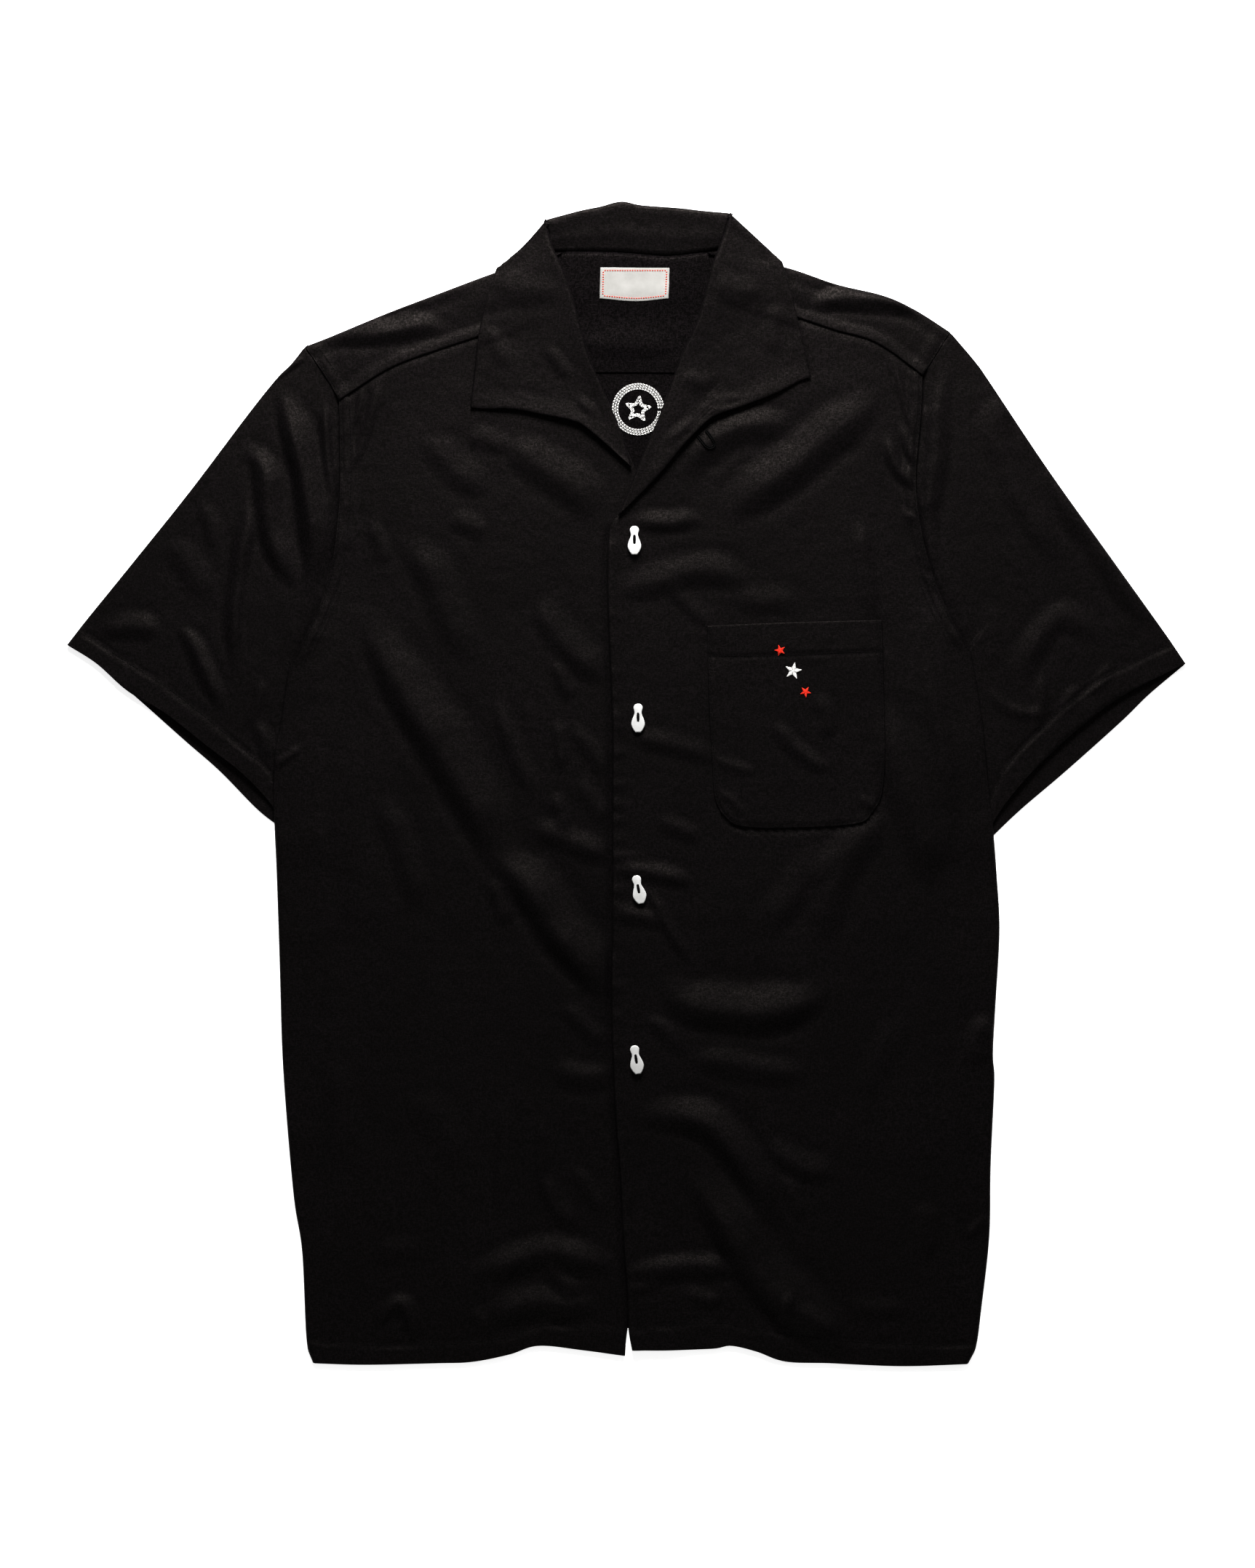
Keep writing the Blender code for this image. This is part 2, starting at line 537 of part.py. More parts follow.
def build_front_right(group, sleeve):
    plan = front_plan("right", 28)
    fade = 1 - eased(-6, 8, plan[..., 0])
    bottom = front_base(plan) + fold_height(plan, FRONT_FOLDS) * fade
    bottom = np.maximum(bottom, top_of([sleeve])(plan, 5.0) + GAP)
    return laid("front_right", plan, bottom, CLOTH, group)


def build_front_left(group, below):
    plan = front_plan("left", 28)
    lapped = 1 - eased(OVERLAP_FULL, OVERLAP_GONE, plan[..., 0])
    bottom = front_base(plan) + LAYER * lapped + fold_height(plan, FRONT_FOLDS)
    bottom = np.maximum(bottom, top_of(below)(plan, 5.0) + GAP)
    return laid("front_left", plan, bottom, CLOTH, group)


# ---------------------------------------------------------------- collar
# Rows of the collar run from its inner edge over the roll to its outer edge. Where it rolls, each row has a
# place in from the rolled edge and a height over the roll's middle, both in roll radii.

RollRow = namedtuple("RollRow", "inset height")
WING_ROLL = (RollRow(0.0, 0.0), RollRow(0.1, 0.45), RollRow(0.4, 0.82), RollRow(1.15, 1.0))
BACK_ROLL_ROWS = (RollRow(1.2, 1.0), RollRow(0.15, 0.55), RollRow(0.15, -0.55), RollRow(1.2, -1.0))
FIRST_TURNED_ROW = 3  # the first row that goes round the crease, from a wing to the back
WING_ROWS = 7
TURN_STEPS = 4


def stand_top(plan):
    """Top of the collar's stand, which slopes up from the neck seam to the back roll."""
    over_stand = eased(STAND_SEAM_Y - 6, STAND_SEAM_Y - 2, plan[..., 1])
    slope = 2 * BACK_ROLL - LAYER
    up = np.clip((plan[..., 1] - STAND_SEAM_Y) / STAND_DEPTH, 0, 1)
    return over_stand * (LAYER + WALL + slope * up)


def wing(side, columns, ground):
    """Middle of one wing's wall, rows from its inner to its outer edge, columns from the crease to the lapel."""
    lines = OUTLINE[side]
    roll = through(lines["roll"], columns)
    outer = through(lines["wing_outer"], columns)
    crease = through(lines["crease"], WING_ROWS)
    lower = through(lines["wing_lower"], WING_ROWS)
    plan = filled(roll, outer, crease, lower).transpose(1, 0, 2)
    lapel_share = np.linspace(0, 1, columns)
    rest = GAP + WALL / 2 + REST_MARGIN
    lip = np.maximum(ground(roll, 5.0), stand_top(roll)) + rest
    rolled = np.maximum(ROLL_HEIGHT + (LAPEL_HEIGHT - ROLL_HEIGHT) * lapel_share, lip + LEAST_CURL)
    floor = np.maximum(ground(plan, 5.0) + rest, CREASE_HEIGHT * (1 - eased(0.1, 0.4, lapel_share)))
    down = np.linspace(1, 0, WING_ROWS)[:, None] ** 1.4
    high = np.maximum(floor, rolled * down + floor * (1 - down))
    away = plan[1] - plan[0]
    away /= np.linalg.norm(away, axis=1)[:, None]
    inner = roll + away * WALL / 2
    rows = [raised(inner, lip)]
    rows += [raised(inner + away * step.inset * ROLL_RADIUS, rolled + (step.height - 1) * ROLL_RADIUS)
             for step in WING_ROLL]
    return np.stack(rows + [raised(plan[k], high[k]) for k in range(1, WING_ROWS)])


def back_of_collar(columns):
    """Middle of the wall behind the neck: stand, roll and fall, columns from the right crease to the left."""
    right, left = OUTLINE["right"], OUTLINE["left"]
    top = through(COLLAR_TOP, columns)
    seam = through(STAND_EDGE, columns)
    fall = filled(through(right["crease"], WING_ROWS), through(left["crease"], WING_ROWS), top,
                  through(FALL_EDGE, columns))
    floor = WALL / 2
    middle = floor + BACK_ROLL
    rows = [raised(seam, LAYER + WALL / 2)]
    rows += [raised(top - (0, WALL / 2 + step.inset * BACK_ROLL), middle + step.height * BACK_ROLL)
             for step in BACK_ROLL_ROWS]
    return np.stack(rows + [raised(fall[k], floor) for k in range(1, WING_ROWS)])


def turn(side, from_wing, from_back):
    """Columns that carry the fall round the crease, from the wing down to the back."""
    out = -1 if side == "right" else 1
    crease = through(OUTLINE[side]["crease"], WING_ROWS)[1:]
    outward = (aside(through(OUTLINE[side]["crease"], WING_ROWS), out) - through(OUTLINE[side]["crease"], WING_ROWS))
    fall = slice(-len(crease), None)
    radius = (from_wing[:, 2] - from_back[:, 2]) / 2
    steps = []
    for k in range(TURN_STEPS + 1):
        share = k / TURN_STEPS
        bulge = radius * math.sin(math.pi * share)
        column = from_wing * (1 - share) + from_back * share
        column[:, :2] += 0.6 * outward[0] * bulge[:, None]
        column[fall, :2] = crease + outward[1:] * (bulge - radius - WALL / 2)[fall, None]
        column[:, 2] = from_back[:, 2] + radius * (1 + math.cos(math.pi * share))
        steps.append(column)
    return np.stack(steps, axis=1)


def build_collar(group, below):
    ground = top_of(below)
    wings = {"right": wing("right", 20, ground), "left": wing("left", 24, ground)}
    back = back_of_collar(11)
    runs = [
        wings["right"][:, :0:-1],
        turn("right", wings["right"][:, 0], back[:, 0]),
        back[:, 1:-1],
        turn("left", wings["left"][:, 0], back[:, -1])[:, ::-1],
        wings["left"][:, 1:],
    ]
    starts = np.cumsum([0] + [run.shape[1] for run in runs])
    middle = np.concatenate(runs, axis=1)
    offset = normals(middle) * WALL / 2

    def keep(row, column):
        turned = any(start <= column < start + TURN_STEPS for start in (starts[1], starts[3]))
        return row >= FIRST_TURNED_ROW or not turned

    return sheet("collar", middle + offset, middle - offset, CLOTH, group, keep=keep)


# ---------------------------------------------------------------- small pieces


def build_patch(name, edges, rows, columns, below, look, group, thick, lift=0.0):
    """A small panel sewn on the face of another, made from that face's own heights."""
    plan = filled(
        through(edges["inner"], rows),
        through(edges["outer"], rows),
        through(edges["top"], columns),
        through(edges["bottom"], columns),
    )
    return laid(name, plan, top_of([below])(plan, 4.0) + GAP + lift, look, group, thick)


def build_loop(group, below):
    route = through(LOOP_ROUTE, 15)
    high = top_of([below])(route, 4.0) + GAP + LOOP_RADIUS
    curve = bpy.data.curves.new("neck_loop", "CURVE")
    curve.dimensions = "3D"
    curve.bevel_depth = LOOP_RADIUS * MM
    curve.bevel_resolution = 2
    curve.use_fill_caps = True
    spline = curve.splines.new("POLY")
    spline.points.add(len(route) - 1)
    for point, (x, y), z in zip(spline.points, route, high):
        point.co = (x * MM, y * MM, z * MM, 1)
    return placed("neck_loop", curve, CLOTH, group)


def pin_outline():
    """The pin's outline, once round, about its middle."""
    half = through(PIN, 15)
    middle = PIN[-1][0] / 2
    right = [(width, height - middle) for height, width in half]
    return right + [(-x, y) for x, y in right[::-1]]


def hole_cutter(name, group, x, y):
    mesh = bpy.data.meshes.new(name)
    drill = bmesh.new()
    bmesh.ops.create_cone(drill, cap_ends=True, segments=10, radius1=HOLE_RADIUS * MM, radius2=HOLE_RADIUS * MM,
                          depth=3 * BUTTON_THICK * MM)
    bmesh.ops.translate(drill, verts=drill.verts, vec=(x * MM, y * MM, 0))
    drill.to_mesh(mesh)
    drill.free()
    cutter = bpy.data.objects.new(name, mesh)
    cutter.hide_render = True
    cutter.display_type = "WIRE"
    group.objects.link(cutter)
    return cutter


def build_button(number, button, group, cutters, below):
    name = f"button_{number}"
    body = bmesh.new()
    flat = body.faces.new([body.verts.new((x * MM, y * MM, -BUTTON_THICK / 2 * MM)) for x, y in pin_outline()])
    grown = bmesh.ops.extrude_face_region(body, geom=[flat])["geom"]
    top = [part for part in grown if isinstance(part, bmesh.types.BMVert)]
    bmesh.ops.translate(body, verts=top, vec=(0, 0, BUTTON_THICK * MM))
    bmesh.ops.recalc_face_normals(body, faces=body.faces[:])
    mesh = bpy.data.meshes.new(name)
    body.to_mesh(mesh)
    body.free()
    obj = placed(name, mesh, PLASTIC, group)
    bevel = obj.modifiers.new("rounded rim", "BEVEL")
    bevel.width = BUTTON_EDGE * MM
    bevel.segments = 1
    bevel.limit_method = "ANGLE"
    bevel.angle_limit = math.radians(60)
    turned = Matrix.Rotation(math.radians(button.lean), 4, "Z")
    for k, sign in enumerate((-1, 1)):
        cutter = hole_cutter(f"{name}_hole_{k + 1}", cutters, 0.0, HOLES_ABOVE_MIDDLE + sign * HOLE_SPACING / 2)
        cut = obj.modifiers.new(f"hole {k + 1}", "BOOLEAN")
        cut.object = cutter
        cut.solver = "EXACT"
        cutter.matrix_world = Matrix.Translation(Vector((button.x, button.y, 0)) * MM) @ turned
    lean = math.radians(button.lean)
    axis = np.array((-math.sin(lean), math.cos(lean)))
    under = np.array([(button.x, button.y) + axis * step for step in (-8, -4, 0, 4, 8)])
    rest = top_of([below])(under, 4.0).max() + GAP + BUTTON_THICK / 2
    obj.matrix_world = Matrix.Translation(Vector((button.x, button.y, rest)) * MM) @ turned
    for cutter in cutters.objects:
        if cutter.name.startswith(name):
            cutter.location.z = rest * MM
    return obj


def main():
    clear_scene()
    shirt = collection("bowling_shirt")
    cutters = collection("cutters", hidden=True)
    back = build_back(shirt)
    sleeves = {side: build_sleeve(side, shirt) for side in ("right", "left")}
    yoke = build_yoke(shirt)
    front_right = build_front_right(shirt, sleeves["right"])
    front_left = build_front_left(shirt, [front_right, sleeves["left"]])
    build_collar(shirt, [back, yoke, front_right, front_left])
    build_patch("pocket", POCKET, 12, 11, front_left, CLOTH, shirt, WALL, lift=0.2)
    build_patch("label", LABEL, 3, 6, yoke, LABEL_CLOTH, shirt, LABEL_THICK)
    build_loop(shirt, front_left)
    for number, button in enumerate(BUTTONS, 1):
        build_button(number, button, shirt, cutters, front_left)


main()
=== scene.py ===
"""The dressed look of a short-sleeved bowling shirt, buttoned and laid flat on its back.

Each cloth piece is a thin shell on the form of its solid, laid on what is under it: back, folded yoke, sleeve
tubes, fronts, rolled collar and pocket. Creases, hems, seams and stitches are worked into the shells.
Tables and plans are in millimetres, meshes and materials in metres.
"""

import math
from collections import namedtuple

import bmesh
import bpy
import numpy as np
from mathutils import Matrix, Vector
from mathutils.bvhtree import BVHTree


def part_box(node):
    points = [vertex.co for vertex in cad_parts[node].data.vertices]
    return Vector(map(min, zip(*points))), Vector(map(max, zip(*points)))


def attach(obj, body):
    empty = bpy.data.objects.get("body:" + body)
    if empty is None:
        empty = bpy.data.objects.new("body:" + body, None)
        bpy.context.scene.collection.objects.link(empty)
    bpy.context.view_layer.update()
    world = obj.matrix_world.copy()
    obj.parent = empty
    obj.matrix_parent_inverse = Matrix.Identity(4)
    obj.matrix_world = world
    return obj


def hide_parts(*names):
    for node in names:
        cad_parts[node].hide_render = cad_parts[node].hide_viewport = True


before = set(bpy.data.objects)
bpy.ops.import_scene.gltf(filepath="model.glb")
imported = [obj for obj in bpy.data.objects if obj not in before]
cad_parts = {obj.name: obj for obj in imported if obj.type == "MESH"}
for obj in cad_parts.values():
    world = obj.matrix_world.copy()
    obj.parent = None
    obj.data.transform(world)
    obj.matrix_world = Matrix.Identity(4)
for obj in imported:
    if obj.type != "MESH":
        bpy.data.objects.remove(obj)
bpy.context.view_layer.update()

MM = 0.001
UP = Vector((0, 0, 1))
SIDES = {"right": -1, "left": 1}  # the wearer's sides, and which way each lies along x

# ---------------------------------------------------------------- sizes shared with the solids

WALL = 1.2
GAP = 0.3
LAYER = WALL + GAP
DOUBLED = 2 * WALL + GAP  # two layers that touch
LOFT = 1.0
LOFT_REACH = 45.0
UNDERARM_RISE = 1.9
UNDERARM_SPAN = (-32.0, 98.0)
UNDERARM_FADE = 34.0
OVERLAP_FULL = 24.0
OVERLAP_GONE = 52.0
YOKE_RISE_FROM = 316.0
YOKE_RISE_TO = 343.0
SLEEVE_LOFT = 1.3
ROLL_HEIGHT = 7.4
LAPEL_HEIGHT = 5.6
BACK_ROLL = 1.9
ROLL_RADIUS = 1.7
ROLL_LIFT = 2.4  # the cloth roll springs up over its solid
LEAST_CURL = 2.3
CREASE_HEIGHT = 5.3
STAND_SEAM_Y = 366.0
STAND_DEPTH = 22.0

# ---------------------------------------------------------------- sizes of the cloth

CLOTH = 0.6  # one layer as it shows, with its turning
COLLAR_CLOTH = 1.0
BACK_REST = 0.3  # the back's outer face stands this far off the floor
BACK_HIGHEST = 1.45
FACE = 1.05  # the outer face of a front over the lower face of its solid
CLEAR = 0.25  # between layers that touch
STEP = 2.2  # between the points of a front
TUBE_STEP = 2.6  # between the points of a sleeve and of the yoke's back
FINE = 1.7  # between the points of the pocket and across the collar
COARSE = 6.0  # between the points of the back, away from the neck
SHOULDER_STEP = 2.4  # between the points along a shoulder and the neck
TIGHT = (0.35, 0.9, 1.7)  # extra lines beside a cut or folded edge
# About how long and wide the pieces are, which sets how many points they get.
BACK_SIZE = (640, 460)
FRONT_WIDTH = 228
SLEEVE_WIDTH = 150
YOKE_BACK, YOKE_STRIP = 85, 42
SHOULDER, NECK = 180, 101
COLLAR_FALL = 52
GROOVE_REACH = 3.4  # the under front sinks this close to the edge that laps it
ARMHOLE_SHARE = {"sleeve": 9 / 14, "front": 9 / 36}  # how much of a piece's rows run along the armhole
SEAM_ROWS = (1.3, 7.4)  # the two rows of topstitching beside an armhole
CUFF_DEPTH = 16  # of a sleeve's turned hem
HEM_DEPTH = 18
HEM_PLY = 0.75  # what a turned hem adds
TUCKED_IN = 2.2  # of a sleeve under the front's armhole, and of a front under the yoke
LAPPED = 0.95  # the under front's height where the upper edge lies on it
FOLD_SCALE = 1.18
STITCH_DRAW = 1.15  # how deep the cloth sinks along a hem's stitches
SHOULDER_SWELL = 0.7
WING_LIFT = 1.4  # the lower edge of a wing stands this much off the front

OUTLINE = {
    "right": {
        "shoulder": ((-44.5, 366), (-86.5, 353), (-124.5, 339), (-162, 325), (-203, 308), (-221, 301)),
        "yoke_seam": ((-38.5, 329), (-70.5, 319), (-101, 308), (-137, 296), (-164.5, 285), (-197.5, 264)),
        "yoke_end": ((-221, 301), (-217, 295), (-205, 278), (-197.5, 264)),
        "armhole": ((-197.5, 264), (-197, 227), (-197, 200), (-201, 159), (-208.5, 129), (-222, 98), (-232.5, 79)),
        "side": ((-232.5, 79), (-237, 47), (-242, 13), (-242, -25), (-240.5, -61), (-238.5, -121), (-236, -196),
                 (-229, -281), (-223, -321), (-220, -381), (-215.5, -398)),
        "hem": ((-1, -393), (-30.5, -389), (-60.5, -386), (-80.5, -392), (-105.5, -397), (-130.5, -398),
                (-180.5, -399), (-215.5, -398)),
        "hem_stitch": ((-1, -374.8), (-21.5, -373.3), (-52.5, -371.8), (-67.5, -374.8), (-79, -379.3),
                       (-90.5, -381.3), (-120.5, -385), (-171.5, -385.5), (-204, -384.3), (-219, -380.8)),
        "neck": ((-38.5, 329), (-32.5, 311), (-27, 291), (-20, 275), (-11.5, 256), (-2.5, 237), (7.5, 214)),
        "front_edge": ((7.5, 214), (22, 169), (23.5, 39), (23, -161), (17, -250), (8.5, -321), (0.5, -376),
                       (-1, -393)),
        "sleeve_top": ((-221, 301), (-230.5, 289), (-240.5, 279), (-260.5, 254), (-300.5, 201), (-340.5, 151),
                       (-370.5, 114), (-384.5, 96)),
        "cuff_front": ((-384.5, 96), (-364, 83), (-342.5, 64), (-317, 49), (-289, 27), (-263.5, 7), (-244, -14),
                       (-237.5, -28)),
        "cuff_back": ((-384.5, 96), (-364, 83), (-335, 58), (-303.5, 30), (-279.5, 9), (-254, -17), (-237.5, -30)),
        "cuff_stitch": ((-372.5, 103.8), (-352, 89.8), (-332.5, 77.3), (-315.5, 66.3), (-297.5, 52.8), (-279.5, 38.3),
                        (-260, 21.3), (-249, 12.8), (-238, -5)),
        "underarm": ((-228.5, 77), (-231.5, 39), (-235.5, 9), (-237.5, -29)),
        "back_tuck": ((-227.6, 76), (-230.5, 39), (-234.5, 9), (-236.4, -31)),
        "back_side": ((-236.4, -31), (-239.5, -61), (-237.5, -121), (-235, -196), (-228, -281), (-222, -321),
                      (-219, -378), (-215, -396)),
        "crease": ((-55, 388), (-71, 370), (-88.5, 355)),
        "wing_outer": ((-88.5, 355), (-95.5, 335), (-101.5, 307), (-104, 284.5), (-107, 259)),
        "wing_lower": ((3.5, 217.5), (-11, 231), (-25, 243), (-35, 249), (-57, 254), (-78, 258), (-95.5, 258),
                       (-107, 259)),
        "roll": ((-55, 388), (-51.5, 372), (-44.5, 356), (-37.5, 337), (-30.5, 311), (-25, 291.5), (-18, 276),
                 (-9.5, 256), (-2, 237), (3.5, 217.5)),
    },
    "left": {
        "shoulder": ((56.5, 366), (107, 356), (144, 344), (177, 336), (199, 326), (222.5, 311)),
        "yoke_seam": ((57, 340), (89.5, 330), (120, 320), (144, 312), (166, 306), (182.5, 297), (203.5, 281)),
        "yoke_end": ((222.5, 311), (212, 294), (203.5, 281)),
        "armhole": ((203.5, 281), (202.5, 255), (199, 203), (207, 156), (221, 118), (237, 90)),
        "side": ((237, 90), (241, 67), (245.5, 35), (249.5, -9), (252.5, -35), (254.5, -61), (256.5, -101),
                 (253.5, -156), (252, -186), (253, -205), (250.5, -261), (249.5, -311), (244, -361), (240.5, -386),
                 (235, -398.5)),
        "hem": ((4, -389), (29.5, -389), (59.5, -388), (72, -386), (89.5, -390), (109.5, -397), (139.5, -398),
                (189.5, -400), (235, -398.5)),
        "hem_stitch": ((5, -375.3), (18.5, -372.8), (57.5, -370.3), (70, -370.8), (89.5, -375.3), (159.5, -383.3),
                       (197.5, -384.8), (229.5, -385.5), (241, -384.3)),
        "neck": ((57, 340), (54, 330), (48.5, 313), (40, 295), (33, 276), (26, 256), (19, 239), (12, 223), (3.5, 200),
                 (-4, 186)),
        "front_edge": ((-4, 186), (-11, 178), (-13, 139), (-9.5, 44), (-9.5, -11), (-9.5, -87), (-10, -156),
                       (-8.5, -202), (-7, -231), (-4, -269), (-2, -311), (1, -351), (1.5, -374), (4, -389)),
        "sleeve_top": ((222.5, 311), (239.5, 291), (249.5, 277), (289.5, 217), (329.5, 161), (369.5, 105),
                       (384.5, 83)),
        "cuff_front": ((384.5, 83), (359.5, 71), (339.5, 60), (318.5, 45), (293.5, 23), (274.5, 4), (258.5, -16),
                       (248.5, -33)),
        "cuff_back": ((384.5, 83), (359.5, 62), (340, 43), (302, 9), (271.5, -17), (252.5, -35), (248, -39)),
        "cuff_stitch": ((373.5, 95.3), (361, 89.5), (345, 81.8), (329, 73.8), (318.5, 66.8), (306, 56.3),
                        (293.5, 46.8), (282, 35.3), (269.3, 21.8), (261, 11.3), (255.5, 2.8), (250, -12)),
        "underarm": ((232.5, 89), (236.5, 59), (242.5, 9), (248, -37)),
        "back_tuck": ((231.4, 88), (235.6, 59), (241.4, 9), (246.6, -40)),
        "back_side": ((246.6, -40), (253, -61), (255.5, -101), (252.5, -156), (251, -186), (252, -205),
                      (249.5, -261), (248.5, -311), (243, -361), (239.5, -384), (234.5, -396.5)),
        "crease": ((71, 392.5), (90, 375), (106.5, 359)),
        "wing_outer": ((106.5, 359), (112.5, 339), (117.5, 319), (122, 300), (126.5, 280)),
        "wing_lower": ((-5.5, 184.5), (20.5, 211), (38, 232), (53.5, 248), (62.5, 254), (80, 260), (103, 269),
                       (118.5, 277), (126.5, 280)),
        "roll": ((71, 392.5), (66, 376), (58, 355), (52, 330), (46.5, 313), (38, 295), (31, 276), (24, 256),
                 (17, 239), (10, 223), (1, 200), (-5.5, 184.5)),
    },
}
COLLAR_TOP = ((-55, 388), (-32.5, 394), (-18, 397), (-3.5, 400.5), (10, 398), (36, 396), (53.5, 394), (71, 392.5))
FALL_EDGE = ((-88.5, 355), (-50.5, 350), (0, 351), (54.5, 352), (106.5, 359))
NECK_SEAM = ((-44.5, 366), (-18, 366), (3, 365), (27.5, 363), (56.5, 366))
STAND_EDGE = ((-53, 366.8), (-18, 366.8), (3, 365.8), (27.5, 364), (48, 366), (65, 368.5))
BACK_SEAM = ((-197.5, 264), (-120, 278), (-45, 283), (45, 283), (120, 282), (203.5, 281))
BACK_HEM = ((-215, -396), (-120, -384), (0, -374), (120, -383), (234.5, -396.5))
POCKET = {
    "top": ((55.5, 109), (115, 111.5), (175.5, 113)),
    "inner": ((55.5, 109), (56.5, 60), (58.5, 20), (60.5, -8), (65, -19.5)),
    "outer": ((175.5, 113), (177, 60), (177.5, 20), (175.5, -7), (170.5, -17.5)),
    "bottom": ((65, -19.5), (77, -28.5), (109.5, -30), (158.5, -27), (170.5, -17.5)),
}
POCKET_HEM = ((54, 88.4), (84, 88.2), (112, 88.6), (142, 90.2), (179, 91.2))
LABEL = {
    "top": ((-18, 355.5), (30, 355.5)),
    "inner": ((-18, 355.5), (-18.5, 334)),
    "outer": ((30, 355.5), (29, 334)),
    "bottom": ((-18.5, 334), (6.5, 332), (29, 334)),
}
LOOP_ROUTE = ((48.5, 240), (54.6, 232.2), (58.6, 231.4), (60.4, 234.6), (54.5, 243.6))

# ---------------------------------------------------------------- folds
# One row a fold: how high it stands, how far it slopes down above and below its crest, and the crest itself,
# listed with the side nearer the collar on the left hand.

Fold = namedtuple("Fold", "height above below crest")

FRONT_FOLDS = (
    Fold(4.4, 26, 13, ((-186, 122), (-164, 80), (-149, 56), (-133, 31), (-117, 2), (-104, -20), (-92, -42),
                       (-82, -66))),
    Fold(5.3, 24, 13, ((-92, -42), (-76, -62), (-63, -78), (-50, -98), (-37, -116), (-22, -134), (-6, -156))),
    Fold(1.9, 20, 13, ((-154, 172), (-136, 143), (-124, 115), (-112, 94), (-104, 80))),
    Fold(1.9, 17, 10, ((-62, 132), (-54, 112), (-42, 94), (-28, 79), (-10, 66))),
    Fold(2.3, 19, 14, ((-84, 240), (-66, 222), (-48, 210), (-33, 198), (-26, 176))),
    Fold(1.6, 11, 12, ((-54, -192), (-30, -201), (-6, -200))),
    Fold(3.2, 14, 12, ((-116, -339), (-92, -334), (-72, -327), (-50, -324), (-28, -327), (0, -331))),
    Fold(2.9, 13, 11, ((-106, -368), (-80, -361), (-60, -357), (-40, -359), (-14, -358))),
    Fold(2.8, 13, 15, ((40, 208), (47, 227), (61, 238), (78, 246), (96, 249), (118, 248))),
    Fold(3.6, 19, 15, ((62, 182), (92, 202), (116, 219), (138, 238), (158, 253), (178, 268))),
    Fold(2.2, 15, 12, ((-10, 136), (12, 137), (28, 142), (50, 147), (70, 145), (88, 137))),
    Fold(2.8, 22, 17, ((176, 62), (186, 18), (195, -14), (204, -44), (212, -80))),
    Fold(2.4, 16, 14, ((136, -116), (139, -81), (149, -54), (164, -34), (180, -18))),
    Fold(4.8, 23, 15, ((24, -130), (42, -150), (70, -155.5), (96, -157), (118, -153), (138, -140))),
    Fold(4.2, 18, 12, ((2, -229), (30, -230), (52, -233), (67, -245), (80, -263), (92, -287), (102, -310))),
    Fold(5.8, 28, 14, ((38, -262), (56, -290), (72, -314), (88, -338), (108, -361), (132, -380), (158, -396))),
    Fold(3.0, 11, 10, ((-4, -336), (24, -335), (50, -333), (80, -334))),
)
